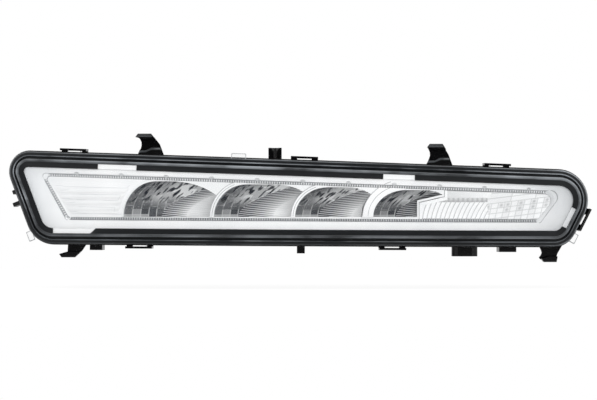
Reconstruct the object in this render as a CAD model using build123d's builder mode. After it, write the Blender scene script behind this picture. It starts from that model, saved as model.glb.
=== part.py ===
import os
from math import asin, degrees, sqrt

from build123d import *

os.makedirs("parts", exist_ok=True)

# Front outline, the outer edge of the gasket with sharp corners
base_length = 371.2
base_shift = 2.5
base_level = -30.2
base_drop = 2.05
left_height = 64.75
right_height = 51.85
left_lean = 24.7
right_lean = 26.7
corner_lower_left = 19.5
corner_lower_right = 16.8
corner_upper_right = 21.0
corner_upper_left = 14.0
tight_corner = 1.5

# Plan bow of the whole lamp and the room that cutting tools take up
bow_radius = 1000.0
front_reach = 40.0
back_reach = 100.0
side_reach = 300.0
height_reach = 120.0

# Fits
seat_gap = 0.05
fit_gap = 0.4

# Gasket
outer_ridge_width = 3.3
outer_ridge_height = 5.2
groove_width = 1.8
groove_floor = 1.6
inner_ridge_width = 2.1
inner_ridge_proud = 0.5
lip_width = 3.7
lip_thickness = 1.3
lip_gap_top_left_x = -125.5
lip_gap_top_left = 28.0
lip_gap_top_right_x = 69.7
lip_gap_top_right = 22.0
lip_gap_right_z = -14.2
lip_gap_right = 17.5
lip_gap_bottom_x = -156.5
lip_gap_bottom = 26.0

# Outer lens
lens_rise = 8.0
lens_wall = 2.4
flange_margin = 0.8
lens_rib_depth = 7.0
lug_thickness = 1.6
lug_reach = 3.6
lug_top_x = -41.0
lug_top_width = 10.3
lug_lower_left_z = -24.5
lug_lower_right_z = -26.0
lug_corner_width = 7.0

# Rear housing
wall = 1.8
channel_clear = 0.8
channel_bottom_clear = 1.6
back_depth = 60.0
end_slope = 46.0
back_rib_count = 7
back_rib_pitch = 42.0
back_rib_width = 2.0
back_rib_rise = 2.5
gusset_count = 9
gusset_pitch = 38.0
gusset_width = 1.8
gusset_depth = 12.0

# Retaining hooks
hook_depth = 19.0
hook_thickness = 2.4
hook_overhang = 8.5
hook_catch = 1.6
hook_lip = 2.0
hook_crown = 8.5
upper_hook_base = 19.4
upper_hook_reach = 15.5
upper_hook_shoulder = 3.0
lower_hook_base = 13.4
lower_hook_shoulder = 3.4
hook_lower_left_reach = 9.8
hook_lower_right_reach = 11.4
hook_upper_left_x = -103.3
hook_upper_left_shift = -3.8
hook_upper_right_x = 98.6
hook_upper_right_shift = -2.2
hook_lower_left_x = -154.8
hook_lower_left_shift = -6.2
hook_lower_right_x = 179.2
hook_lower_right_shift = -2.0
hook_tip = 2.0
hook_tip_drop = 2.4
hook_waist = 3.4
hook_waist_share = 0.46
hook_shoulder_share = 0.52
hook_curve_share = 0.3

# Latch loops and the lens noses they hold
loop_width = 18.8
loop_thickness = 1.5
loop_gap = 0.7
loop_bar = 2.4
loop_leg = 4.4
loop_top_left_x = -155.9
loop_top_middle_x = 4.4
loop_top_right_x = 138.0
loop_bottom_left_x = -110.0
loop_bottom_right_x = 65.2
loop_right_z = -12.8
loop_right_width = 17.0

# Guide post, locating fork and bottom lugs
guide_x = -15.9
guide_width = 9.2
guide_depth = 8.0
guide_rise = 8.4
guide_radius = 2.8
guide_start = 5.0
guide_opening = 4.6
fork_z = 2.6
fork_gap = 4.9
fork_prong = 2.8
fork_lower_reach = 6.4
fork_upper_reach = 3.6
fork_depth = 6.5
stop_left_x = -140.9
stop_left_width = 8.9
stop_left_reach = 4.4
stop_middle_x = 2.0
stop_middle_width = 5.5
stop_middle_reach = 5.7
stop_right_x = 146.4
stop_right_width = 12.3
stop_right_reach = 4.2
stop_depth = 6.5

# Connector shroud and blades
connector_x = 116.5
connector_width = 18.0
connector_depth = 11.5
connector_corner = 4.0
connector_wall = 1.6
connector_setback = 11.0
connector_reach = 7.5
connector_socket = 14.0
blade_count = 3
blade_pitch = 3.6
blade_width = 1.2
blade_tip_setback = 5.0

# Bezel
bezel_clear = 0.5
bezel_wall = 1.6
window_bottom_margin = 16.4
window_right_margin = 22.9
window_top_margin = 14.6
window_left_margin = 24.0
window_rake = 2.8
window_corner = 2.0
window_tip_corner = 5.0
window_bevel = 2.2
window_bevel_depth = 2.6
window_frame_width = 1.5
ledge_count = 5
ledge_rise = 1.3
ledge_share = 0.62
ledge_gap = 2.6
rim_rise = 1.4

# Cups of the reflector bank
cup_depth = 26.0
cup_wall = 1.2
cup_shell = 2.0
cup_top_clear = 1.8
cup_floor_clear = 0.2
cup_left_1 = -120.8
cup_left_2 = -58.0
cup_left_3 = -2.1
cup_left_4 = 51.8
cup_lobe = 22.5
cup_crown_1 = 10.0
cup_crown_2 = 20.0
cup_crown_3 = 14.0
cup_crown_4 = 14.0
cup_sweep_1 = 40.0
cup_sweep_2 = 30.0
cup_sweep_3 = 25.0
cup_sweep_4 = 21.0
cup_rim_2 = 3.0
cup_rim_3 = 3.0
cup_rim_4 = 7.5
cup_floor_thickness = 1.3
facet_width = 5.6
facet_height = 4.8
flute_pitch = 1.7
flute_height = 0.3
flute_start = 26.0
flute_slant = 0.75

# End optic
end_left_x = 83.5
end_step_z = -1.5
end_shoulder_x = 101.0
end_shoulder_rise = 4.0
optic_depth = 3.0
optic_wall = 2.0
prism_pitch = 3.05
prism_count = 14
prism_bulge = 1.3
prism_lean = 0.25
prism_side = 70.0
half_turn = 180.0
scallop_pitch = 3.4
scallop_count = 10
scallop_rise = 1.6
facet_block_rows = 3
facet_block_columns = 7
facet_block_pitch = 5.8
facet_block_gap = 0.5
facet_row_pitch = 3.9
facet_tilt = 8.0
facet_start_x = 136.0
facet_fall = 3.5
long_facet_count = 2
long_facet_length = 34.0
long_facet_x = 152.0
long_facet_fall = 7.0

# Light sources, board and heat sink
board_thickness = 1.4
board_left_x = -112.0
board_right_x = 92.0
board_front_y = 15.0
board_back_y = 35.0
led_size = 3.5
led_height = 0.8
led_dome = 1.5
led_taper = 30.0
round_sides = 16
led_clear = 0.3
plate_thickness = 1.5
plate_back_y = 40.0
plate_top_z = 7.0
fin_pitch = 10.0
fin_depth = 9.0
fin_width = 1.5
fin_inset = 7.0
seat_rib_width = 2.0
seat_rib_pitch = 60.0
seat_rib_count = 4

# Screws and bosses
screw_radius = 1.25
shank_sides = 8
head_sides = 6
screw_head_radius = 2.6
screw_head_height = 1.8
boss_radius = 3.2
screw_length = 10.0
reflector_screw_length = 4.8
reflector_screw_1_x = -62.0
reflector_screw_2_x = -5.0
reflector_screw_3_x = 46.0
reflector_screw_y = 30.5
sink_screw_pitch = 70.0
sink_screw_count = 3
sink_screw_middle_x = -10.0
sink_screw_z = 2.0

# Driver board and what is on it
driver_left_x = 98.0
driver_right_x = 150.0
driver_bottom_z = -11.0
driver_top_z = 6.5
driver_y = 37.0
driver_screw_inset = 4.0
coil_radius = 5.0
coil_length = 7.0
coil_x = 121.0
coil_z = 0.0
capacitor_radius = 3.0
capacitor_length = 9.0
capacitor_x = 132.0
capacitor_pitch = 7.4
capacitor_z = -2.0
chip_size = 7.0
chip_height = 2.0
chip_x = 142.0
chip_z = -5.0
lead_radius = 0.6
lead_sides = 6
lead_bend = 2.0
lead_rise = 4.0
lead_pitch = 2.4
lead_start_x = 89.0
lead_start_y = 22.0
lead_end_x = 103.0

# Breather on the back wall
vent_x = 110.0
vent_z = 0.0
vent_bore = 3.0
vent_cap_radius = 6.0
vent_cap_height = 4.0
vent_lift = 0.8
membrane_thickness = 0.3
vent_collar_radius = 4.4
vent_collar_rise = 1.5

# Insets and depths that follow from the sizes above
skirt_outer = outer_ridge_width + groove_width + inner_ridge_width
skirt_inner = skirt_outer + lens_wall
channel_outer = skirt_outer - channel_clear
leg_outer = channel_outer - wall
tub_outer = skirt_inner + channel_clear
tub_inner = tub_outer + wall
lens_front = -lens_rise
lens_inner = lens_front + lens_wall
housing_front = lens_wall + seat_gap
rim_back = housing_front + wall
tub_front = housing_front + wall
channel_floor = lens_rib_depth + channel_bottom_clear
inner_ridge_height = lens_rise + lip_thickness + inner_ridge_proud
bezel_front = lens_inner + bezel_clear
bezel_border_back = bezel_front + bezel_wall
field_front = bezel_front + window_bevel_depth - fit_gap / 2
field_back = field_front + bezel_wall
reflector_front = field_back + seat_gap

corner_radii = (corner_lower_left, corner_lower_right, corner_upper_right, corner_upper_left)
corner_a = Vector(base_shift - base_length / 2, base_level)
corner_b = Vector(base_shift + base_length / 2, base_level - base_drop)
corner_c = corner_b + Vector(right_lean, right_height)
corner_d = corner_a + Vector(-left_lean, left_height)
frame_corners = (corner_a, corner_b, corner_c, corner_d)
bottom, right, top, left = range(4)


def bow(x):
    """Depth of the bowed reference surface behind the front plane."""
    return bow_radius - sqrt(bow_radius**2 - x**2)


def front_plane(y):
    """Plane seen square from the front, with X across and Z up."""
    return Plane.XZ.offset(-y)


def side_line(side, margin):
    """A side of the front outline, moved inwards."""
    start = frame_corners[side]
    end = frame_corners[(side + 1) % len(frame_corners)]
    along = (end - start).normalized()
    return start + Vector(-along.Y, along.X) * margin, along


def crossing(first, second):
    """Point where two lines meet."""
    (start, along), (other, across) = first, second
    gap = other - start
    share = gap.X * across.Y - gap.Y * across.X
    return start + along * (share / (along.X * across.Y - along.Y * across.X))


def inset_corners(margins):
    """Corners of the front outline with each side moved inwards by its own margin."""
    return [
        crossing(side_line(side - 1, margins[side - 1]), side_line(side, margins[side]))
        for side in range(len(frame_corners))
    ]


def rounded_face(corners, radii):
    """Face with rounded corners, flat in the front view."""
    with BuildSketch() as face:
        with BuildLine():
            FilletPolyline(*corners, radius=radii, close=True)
        make_face()
    return face.sketch


def frame_face(inset):
    """The front outline, moved inwards all round."""
    corners = inset_corners((inset,) * len(frame_corners))
    return rounded_face(corners, [max(radius - inset, tight_corner) for radius in corner_radii])


def window_face(inset):
    """Outline of the bezel's window, moved inwards all round."""
    margins = (
        window_bottom_margin + inset,
        window_right_margin + inset,
        window_top_margin + inset,
        window_left_margin + inset,
    )
    corners = inset_corners(margins)
    corners[bottom] = corners[bottom] + Vector(window_rake, 0)
    corners[right] = corners[right] - Vector(window_rake, 0)
    corners[top] = corners[top] + Vector(window_rake, 0)
    corners[left] = corners[left] - Vector(window_rake, 0)
    radii = [window_corner] * len(corners)
    radii[top] = window_tip_corner
    return rounded_face(corners, radii)


def ring(outer, inner):
    """Face between two closed outlines."""
    with BuildSketch() as face:
        add(outer)
        add(inner, mode=Mode.SUBTRACT)
    return face.sketch


def frame_ring(outer_inset, inner_inset):
    """Band of the front outline between two insets."""
    return ring(frame_face(outer_inset), frame_face(inner_inset))


def common(first, second):
    """Face that two faces share."""
    with BuildSketch() as face:
        add(first)
        add(second, mode=Mode.INTERSECT)
    return face.sketch


def prism(face, front, back):
    """A front-view face drawn straight back between two depths."""
    with BuildPart() as block:
        with BuildSketch(front_plane(back)):
            add(face)
        extrude(amount=back - front)
    return block.part


def bowed(face, front, back):
    """A front-view face as a plate that follows the bow between two depths."""
    with BuildPart() as plate:
        with BuildSketch(front_plane(back_reach)):
            add(face)
        extrude(amount=front_reach + back_reach)
        with BuildSketch(Plane.XY.offset(-height_reach)):
            with Locations((0, bow_radius)):
                Circle(bow_radius - front)
                Circle(bow_radius - back, mode=Mode.SUBTRACT)
        extrude(amount=2 * height_reach, mode=Mode.INTERSECT)
    return plate.part


def behind(front):
    """Everything behind a depth of the bow."""
    with BuildPart() as space:
        with BuildSketch(Plane.XY.offset(-height_reach)):
            with Locations((0, bow_radius)):
                Circle(bow_radius - front)
        extrude(amount=2 * height_reach)
    return space.part


def line_z(line, x):
    """Height of a line of the front view at a place across."""
    start, along = line
    return start.Y + along.Y * (x - start.X) / along.X


def line_x(line, z):
    """Place across of a line of the front view at a height."""
    start, along = line
    return start.X + along.X * (z - start.Y) / along.Y


def edge_plane(side, station):
    """Plane on the frame's edge that faces forward, with its own Y pointing outwards."""
    line = side_line(side, 0)
    along = line[1]
    if side in (top, bottom):
        x, z = station, line_z(line, station)
    else:
        x, z = line_x(line, station), station
    slope = x / sqrt(bow_radius**2 - x**2)
    across = Vector(-along.X, -along.X * slope, -along.Y)
    return Plane(origin=(x, bow(x), z), x_dir=across, z_dir=(slope, -1, 0))


def edge_block(side, station, width, low, high, front, back):
    """Block on the frame's edge, given along, outwards and in depth."""
    with BuildPart() as block:
        with BuildSketch(edge_plane(side, station).offset(-back)):
            with Locations((0, (low + high) / 2)):
                Rectangle(width, high - low)
        extrude(amount=back - front)
    return block.part


# Perimeter gasket
gasket_inner = skirt_outer - seat_gap
inner_ridge_outer = outer_ridge_width + groove_width
outer_ridge = bowed(frame_ring(0, outer_ridge_width), -outer_ridge_height, -seat_gap)
inner_ridge = bowed(frame_ring(inner_ridge_outer, gasket_inner), -inner_ridge_height, -seat_gap)
gasket_web = bowed(frame_ring(0, gasket_inner), -groove_floor, -seat_gap)
lip_back = lens_front - seat_gap
lip_inner = skirt_outer + lip_width
lip = bowed(frame_ring(skirt_outer - inner_ridge_width / 2, lip_inner), lip_back - lip_thickness, lip_back)
lip_gaps = (
    (top, lip_gap_top_left_x, lip_gap_top_left),
    (top, lip_gap_top_right_x, lip_gap_top_right),
    (right, lip_gap_right_z, lip_gap_right),
    (bottom, lip_gap_bottom_x, lip_gap_bottom),
)
lip_cuts = [
    edge_block(side, station, length, -lip_inner - fit_gap, -gasket_inner, 2 * lens_front, 0)
    for side, station, length in lip_gaps
]
with BuildPart() as perimeter_gasket:
    add(lip)
    add(lip_cuts, mode=Mode.SUBTRACT)
    add([gasket_web, outer_ridge, inner_ridge])
perimeter_gasket.part.label = "perimeter_gasket"
export_step(perimeter_gasket.part, "parts/perimeter_gasket.step")

# Outer lens
loop_inner = flange_margin + loop_gap
loop_outer = loop_inner + loop_thickness
loops = (
    (top, loop_top_left_x, loop_width),
    (top, loop_top_middle_x, loop_width),
    (top, loop_top_right_x, loop_width),
    (bottom, loop_bottom_left_x, loop_width),
    (bottom, loop_bottom_right_x, loop_width),
    (right, loop_right_z, loop_right_width),
)
lens_shell = bowed(frame_face(skirt_outer), lens_front, lens_inner)
lens_skirt = bowed(frame_ring(skirt_outer, skirt_inner), lens_front, lens_rib_depth)
lens_flange = bowed(frame_ring(-flange_margin, skirt_inner), 0, lens_wall)
nose_sides = 2 * loop_leg + 2 * fit_gap
noses = [
    edge_block(side, station, width - nose_sides, -fit_gap, loop_outer, seat_gap, lens_wall - seat_gap)
    for side, station, width in loops
]
clear_lugs = (
    (top, lug_top_x, lug_top_width),
    (left, lug_lower_left_z, lug_corner_width),
    (right, lug_lower_right_z, lug_corner_width),
)
lugs = [
    edge_block(side, station, width, -fit_gap, lug_reach, seat_gap, lug_thickness)
    for side, station, width in clear_lugs
]
with BuildPart() as outer_lens:
    add([lens_shell, lens_skirt, lens_flange] + noses + lugs)
outer_lens.part.label = "outer_lens"
export_step(outer_lens.part, "parts/outer_lens.step")

# Sealant bead
bead_ring = frame_ring(channel_outer + seat_gap, tub_outer - seat_gap)
with BuildPart() as lens_seal_bead:
    add(bowed(bead_ring, lens_rib_depth + seat_gap, channel_floor - seat_gap))
lens_seal_bead.part.label = "lens_seal_bead"
export_step(lens_seal_bead.part, "parts/lens_seal_bead.step")


def tub_block(inset, back):
    """Block that fills the tub's outline out to an inset, with its two ends sloped in plan."""
    shift = inset - tub_outer
    slope_start = bow(corner_d.X) + channel_floor
    with BuildPart() as block:
        with BuildSketch(front_plane(back)):
            add(frame_face(inset))
        extrude(amount=back)
        with BuildSketch(Plane.XY.offset(-height_reach)):
            with BuildLine():
                Polyline(
                    (corner_d.X + shift, -front_reach),
                    (corner_c.X - shift, -front_reach),
                    (corner_c.X - shift, slope_start),
                    (corner_c.X - shift - end_slope, back_depth),
                    (corner_d.X + shift + end_slope, back_depth),
                    (corner_d.X + shift, slope_start),
                    close=True,
                )
            make_face()
        extrude(amount=2 * height_reach, mode=Mode.INTERSECT)
    return block.part


def hook(x, side, base, reach, shoulder, shift):
    """Retaining hook, its side view cut to its front view."""
    out = 1 if side == top else -1
    edge = line_z(side_line(side, 0), x)
    root = -tub_outer - wall / 2
    arm_back = bow(x) + hook_depth
    arm_front = arm_back - hook_thickness
    foot_front = bow(x) + channel_floor + wall / 2
    lip_front_y = arm_back - hook_overhang
    under = reach - hook_thickness
    profile = (
        (arm_back, root),
        (arm_back, reach),
        (lip_front_y, reach),
        (lip_front_y, under - hook_catch),
        (lip_front_y + hook_lip, under - hook_catch),
        (lip_front_y + hook_lip, under),
        (arm_front, under),
        (arm_front, root),
    )
    bends = (0, hook_thickness, hook_lip / 2, 0, 0, 0, 0, 0)
    foot_left = x - base / 2
    foot_right = x + base / 2
    crown_left = x + shift - hook_crown / 2
    crown_right = crown_left + hook_crown
    outline = (
        (foot_left, root - fit_gap),
        (foot_left, 0),
        (crown_left + hook_waist, reach * hook_waist_share),
        (crown_left + hook_waist, under - hook_catch),
        (crown_left - hook_tip, reach - hook_tip_drop),
        (crown_left, reach + fit_gap),
        (crown_right, reach + fit_gap),
        (foot_right - shoulder, reach * hook_shoulder_share),
        (foot_right, 0),
        (foot_right, root - fit_gap),
    )
    curve = reach * hook_curve_share
    rounds = (0, 0, curve, 0, 0, 0, 0, curve, 0, 0)
    side_points = [(y, edge + out * height) for y, height in profile]
    front_points = [(across, edge + out * height) for across, height in outline]
    with BuildPart() as arm:
        with BuildSketch(Plane.YZ.offset(x - base)):
            with BuildLine():
                FilletPolyline(*side_points, radius=bends, close=True)
            make_face()
        extrude(amount=2 * base)
        with BuildSketch(Plane.YZ.offset(x - base)):
            with Locations(((foot_front + arm_back) / 2, edge - out * (tub_outer + leg_outer) / 2)):
                Rectangle(arm_back - foot_front, tub_outer - leg_outer + wall)
        extrude(amount=2 * base)
        with BuildSketch(front_plane(back_reach)):
            with BuildLine():
                FilletPolyline(*front_points, radius=rounds, close=True)
            make_face()
        extrude(amount=front_reach + back_reach, mode=Mode.INTERSECT)
    return arm.part


# Rear housing
tub_outside = tub_block(tub_outer, back_depth)
tub_inside = tub_block(tub_inner, back_depth - wall)
back_span = corner_c.X - corner_d.X - 2 * end_slope - 2 * wall
back_middle = (corner_c.X + corner_d.X) / 2
tub_space = behind(tub_front)
rim_plate = bowed(frame_ring(-flange_margin, channel_outer), housing_front, rim_back)
channel_leg = bowed(frame_ring(leg_outer, channel_outer), housing_front, channel_floor + wall)
channel_web = bowed(frame_ring(leg_outer, tub_inner), channel_floor, channel_floor + wall)
upper_hook = (upper_hook_base, upper_hook_reach, upper_hook_shoulder)
lower_left_hook = (lower_hook_base, hook_lower_left_reach, lower_hook_shoulder)
lower_right_hook = (lower_hook_base, hook_lower_right_reach, lower_hook_shoulder)
hooks = [
    hook(hook_upper_left_x, top, *upper_hook, hook_upper_left_shift),
    hook(hook_upper_right_x, top, *upper_hook, hook_upper_right_shift),
    hook(hook_lower_left_x, bottom, *lower_left_hook, hook_lower_left_shift),
    hook(hook_lower_right_x, bottom, *lower_right_hook, hook_lower_right_shift),
]
loop_front = -fit_gap - loop_bar
loop_middle = (loop_inner + loop_outer) / 2
tab_back = rim_back - fit_gap / 2
tab_middle = (loop_outer - leg_outer) / 2
loop_parts = []
for side, station, width in loops:
    leg_shift = (width - loop_leg) / 2
    with BuildPart() as strap:
        with BuildSketch(edge_plane(side, station).offset(-tab_back)):
            with Locations((-leg_shift, loop_middle), (leg_shift, loop_middle)):
                Rectangle(loop_leg, loop_thickness)
        extrude(amount=tab_back - loop_front)
        with BuildSketch(edge_plane(side, station).offset(fit_gap)):
            with Locations((0, loop_middle)):
                Rectangle(width, loop_thickness)
        extrude(amount=loop_bar)
        with BuildSketch(edge_plane(side, station).offset(-tab_back)):
            with Locations((-leg_shift, tab_middle), (leg_shift, tab_middle)):
                Rectangle(loop_leg, loop_outer + leg_outer)
        extrude(amount=wall - fit_gap)
    loop_parts.append(strap.part)
prong_shift = (fork_gap + fork_prong) / 2
prong_front = housing_front + fit_gap
prong_back = rim_back + fork_depth
prongs = ((fork_z - prong_shift, fork_lower_reach), (fork_z + prong_shift, fork_upper_reach))
fork_parts = [
    edge_block(left, z, fork_prong, -leg_outer, reach, prong_front, prong_back) for z, reach in prongs
]
stops = (
    (stop_left_x, stop_left_width, stop_left_reach),
    (stop_middle_x, stop_middle_width, stop_middle_reach),
    (stop_right_x, stop_right_width, stop_right_reach),
)
stop_parts = [
    edge_block(bottom, x, width, -leg_outer - wall, reach, housing_front + fit_gap, rim_back + stop_depth)
    for x, width, reach in stops
]
guide_edge = line_z(side_line(top, 0), guide_x)
guide_front_y = bow(guide_x) + guide_start
guide_axis_y = guide_front_y + sqrt(guide_radius**2 - (guide_opening / 2) ** 2)
connector_y = bow(connector_x) + connector_setback + connector_depth / 2
connector_edge = line_z(side_line(bottom, 0), connector_x)
connector_mouth = connector_edge - connector_reach
connector_top = connector_edge + tub_inner + wall / 2
first_blade_x = connector_x - (blade_count - 1) / 2 * blade_pitch
blade_places = [(first_blade_x + turn * blade_pitch, connector_y) for turn in range(blade_count)]
gusset_places = [(turn - (gusset_count - 1) / 2) * gusset_pitch for turn in range(gusset_count)]
gusset_parts = []
for side in (top, bottom):
    for x in gusset_places:
        out = 1 if side == top else -1
        edge = line_z(side_line(side, 0), x)
        gusset_y = bow(x) + rim_back - wall / 2
        with BuildPart() as gusset:
            with BuildSketch(Plane.YZ.offset(x - gusset_width / 2)):
                with BuildLine():
                    Polyline(
                        (gusset_y, edge),
                        (gusset_y, edge - out * (tub_outer + wall / 2)),
                        (gusset_y + gusset_depth + wall, edge - out * (tub_outer + wall / 2)),
                        close=True,
                    )
                make_face()
            extrude(amount=gusset_width)
        gusset_parts.append(gusset.part)

# Levels of the optics above the window's lower edge
window_lines = [
    side_line(bottom, window_bottom_margin + window_bevel),
    side_line(top, window_top_margin),
]
floor_z = line_z(window_lines[0], cup_left_1) + cup_floor_clear
board_top = floor_z - cup_floor_thickness - seat_gap
board_bottom = board_top - board_thickness
plate_top = board_bottom - seat_gap
plate_bottom = plate_top - plate_thickness
sink_places = [
    (sink_screw_middle_x + (turn - (sink_screw_count - 1) / 2) * sink_screw_pitch, sink_screw_z)
    for turn in range(sink_screw_count)
]
driver_z = driver_top_z - driver_screw_inset
driver_places = [
    (driver_left_x + driver_screw_inset, driver_z),
    (driver_right_x - driver_screw_inset, driver_z),
]
driver_back = driver_y + board_thickness
boss_sets = ((sink_places, plate_back_y), (driver_places, driver_back))
channel_space = bowed(frame_ring(channel_outer, tub_outer), lens_front, channel_floor)
lens_space = bowed(frame_face(channel_outer), 2 * lens_front, tub_front)
seat_ribs = []
for turn in range(seat_rib_count):
    x = sink_screw_middle_x + (turn - (seat_rib_count - 1) / 2) * seat_rib_pitch
    wall_z = line_z(side_line(bottom, tub_inner), x) - wall / 2
    with BuildPart() as seat_rib:
        with BuildSketch(Plane.XY.offset(wall_z)):
            with Locations((x, (board_front_y + plate_back_y) / 2)):
                Rectangle(seat_rib_width, plate_back_y - board_front_y)
        extrude(amount=plate_bottom - seat_gap - wall_z)
    seat_ribs.append(seat_rib.part)

with BuildPart() as rear_housing:
    add(tub_outside)
    add(tub_inside, mode=Mode.SUBTRACT)
    add(tub_space, mode=Mode.INTERSECT)
    add(rim_plate)
    add(channel_leg)
    add(channel_web)
    add(hooks + loop_parts + fork_parts + stop_parts + gusset_parts)
    with BuildSketch(Plane.XY.offset(guide_edge - tub_outer)):
        with Locations((guide_x, guide_front_y + guide_depth / 2)):
            Rectangle(guide_width, guide_depth)
    extrude(amount=tub_outer + guide_rise)
    with BuildSketch(Plane.XY.offset(guide_edge + flange_margin + fit_gap)):
        with Locations((guide_x, guide_axis_y)):
            Circle(guide_radius)
    extrude(amount=guide_rise, mode=Mode.SUBTRACT)
    add([channel_space, lens_space], mode=Mode.SUBTRACT)
    add(seat_ribs)
    with BuildSketch(Plane.XY.offset(connector_mouth)):
        with Locations((connector_x, connector_y)):
            RectangleRounded(connector_width, connector_depth, connector_corner)
    extrude(amount=connector_top - connector_mouth)
    with BuildSketch(Plane.XY.offset(connector_mouth)):
        with Locations((connector_x, connector_y)):
            RectangleRounded(
                connector_width - 2 * connector_wall,
                connector_depth - 2 * connector_wall,
                connector_corner - connector_wall,
            )
    extrude(amount=connector_socket, mode=Mode.SUBTRACT)
    with BuildSketch(Plane.XY.offset(connector_mouth)):
        with Locations(*blade_places):
            Rectangle(blade_width + 2 * seat_gap, blade_width + 2 * seat_gap)
    extrude(amount=connector_top - connector_mouth, mode=Mode.SUBTRACT)
    for places, boss_front in boss_sets:
        with BuildSketch(front_plane(back_depth - wall / 2)):
            with Locations(*places):
                RegularPolygon(boss_radius, shank_sides)
        extrude(amount=back_depth - wall / 2 - boss_front - seat_gap)
        with BuildSketch(front_plane(boss_front + screw_length)):
            with Locations(*places):
                RegularPolygon(screw_radius + seat_gap, shank_sides)
        extrude(amount=screw_length, mode=Mode.SUBTRACT)
    with BuildSketch(front_plane(back_depth + back_rib_rise)):
        with GridLocations(back_rib_pitch, 1, back_rib_count, 1):
            Rectangle(back_rib_width, height_reach)
        Rectangle(side_reach, back_rib_width)
        with Locations((vent_x, vent_z)):
            Circle(vent_cap_radius + fit_gap, mode=Mode.SUBTRACT)
        add(frame_face(tub_outer + wall), mode=Mode.INTERSECT)
        with Locations((back_middle, 0)):
            Rectangle(back_span, height_reach, mode=Mode.INTERSECT)
    extrude(amount=back_rib_rise + wall / 2)
    with BuildSketch(front_plane(back_depth + vent_collar_rise)):
        with Locations((vent_x, vent_z)):
            Circle(vent_collar_radius)
    extrude(amount=vent_collar_rise + wall / 2)
    with BuildSketch(front_plane(back_depth + vent_collar_rise)):
        with Locations((vent_x, vent_z)):
            Circle(vent_bore)
    extrude(amount=vent_collar_rise + 2 * wall, mode=Mode.SUBTRACT)
rear_housing.part.label = "rear_housing"
export_step(rear_housing.part, "parts/rear_housing.step")


# Cups, from left to right
cup_lefts = (cup_left_1, cup_left_2, cup_left_3, cup_left_4)
cup_crowns = (cup_crown_1, cup_crown_2, cup_crown_3, cup_crown_4)
cup_sweeps = (cup_sweep_1, cup_sweep_2, cup_sweep_3, cup_sweep_4)
cup_rims = (cup_wall, cup_rim_2, cup_rim_3, cup_rim_4)
cups = range(len(cup_lefts))
lobe_xs = [edge + cup_lobe for edge in cup_lefts]
sweep_xs = [lobe_xs[cup] + cup_crowns[cup] for cup in cups]
cup_crest = window_bevel + cup_top_clear / 2 + floor_z
cup_heights = [line_z(window_lines[1], x) - cup_crest for x in lobe_xs]
cup_ends = [cup_lefts[cup + 1] for cup in cups[:-1]] + [end_shoulder_x]
rim_ys = [max(bow(cup_lefts[cup]), bow(cup_ends[cup])) + reflector_front for cup in cups]
vertex_ys = [rim_y + cup_depth for rim_y in rim_ys]
focal_lengths = [height**2 / (4 * cup_depth) for height in cup_heights]
led_places = [(lobe_xs[cup], vertex_ys[cup] - focal_lengths[cup]) for cup in cups]


def half_plane(x, side):
    """Everything to one side of a place across."""
    with BuildSketch() as face:
        with Locations((x + side * side_reach / 2, 0)):
            Rectangle(side_reach, 2 * height_reach)
    return face.sketch


def above(z):
    """Everything above a height."""
    with BuildSketch() as face:
        with Locations((0, z + height_reach / 2)):
            Rectangle(2 * side_reach, height_reach)
    return face.sketch


def lobe_face(cup, grow):
    """Left lobe of a cup with all that lies right of it."""
    right_part = half_plane(lobe_xs[cup], 1)
    with BuildSketch() as face:
        with Locations((lobe_xs[cup], floor_z)):
            Ellipse(cup_lobe + grow, cup_heights[cup] + grow)
        add(right_part)
    return face.sketch


def end_face(grow):
    """Region of the end optic, out to the window's right end."""
    with BuildSketch() as face:
        with BuildLine():
            Polyline(
                (end_left_x - grow, floor_z - height_reach),
                (end_left_x - grow, end_step_z + grow),
                (end_shoulder_x - grow, end_step_z + end_shoulder_rise + grow),
                (end_shoulder_x - grow, height_reach),
                (side_reach, height_reach),
                (side_reach, floor_z - height_reach),
                close=True,
            )
        make_face()
    return face.sketch


def cup_face(cup, grow):
    """Opening of a cup in the front view."""
    over = above(floor_z - grow)
    left_part = half_plane(lobe_xs[cup], -1)
    right_part = half_plane(sweep_xs[cup], 1)
    height = cup_heights[cup] + grow
    with BuildSketch() as lobe:
        with Locations((lobe_xs[cup], floor_z)):
            Ellipse(cup_lobe + grow, height)
        add(left_part, mode=Mode.INTERSECT)
    with BuildSketch() as sweep_part:
        with Locations((sweep_xs[cup], floor_z)):
            Ellipse(cup_sweeps[cup] + grow, height)
        add(right_part, mode=Mode.INTERSECT)
    if cup + 1 in cups:
        limit = lobe_face(cup + 1, cup_rims[cup + 1] - grow)
    else:
        limit = end_face(cup_wall - grow)
    with BuildSketch() as face:
        with Locations(((lobe_xs[cup] + sweep_xs[cup]) / 2, floor_z)):
            Rectangle(cup_crowns[cup], 2 * height)
        add(lobe.sketch)
        add(sweep_part.sketch)
        add(over, mode=Mode.INTERSECT)
        add(limit, mode=Mode.SUBTRACT)
    return face.sketch


def fall(cup, x):
    """How far a cup's wall comes forward across, from its deepest line."""
    if x < lobe_xs[cup]:
        return cup_depth * ((lobe_xs[cup] - x) / cup_lobe) ** 2
    if x > sweep_xs[cup]:
        return cup_depth * ((x - sweep_xs[cup]) / cup_sweeps[cup]) ** 2
    return 0


def rise(cup, z):
    """How far a cup's wall comes forward with height above the floor."""
    return cup_depth * ((z - floor_z) / cup_heights[cup]) ** 2


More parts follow.
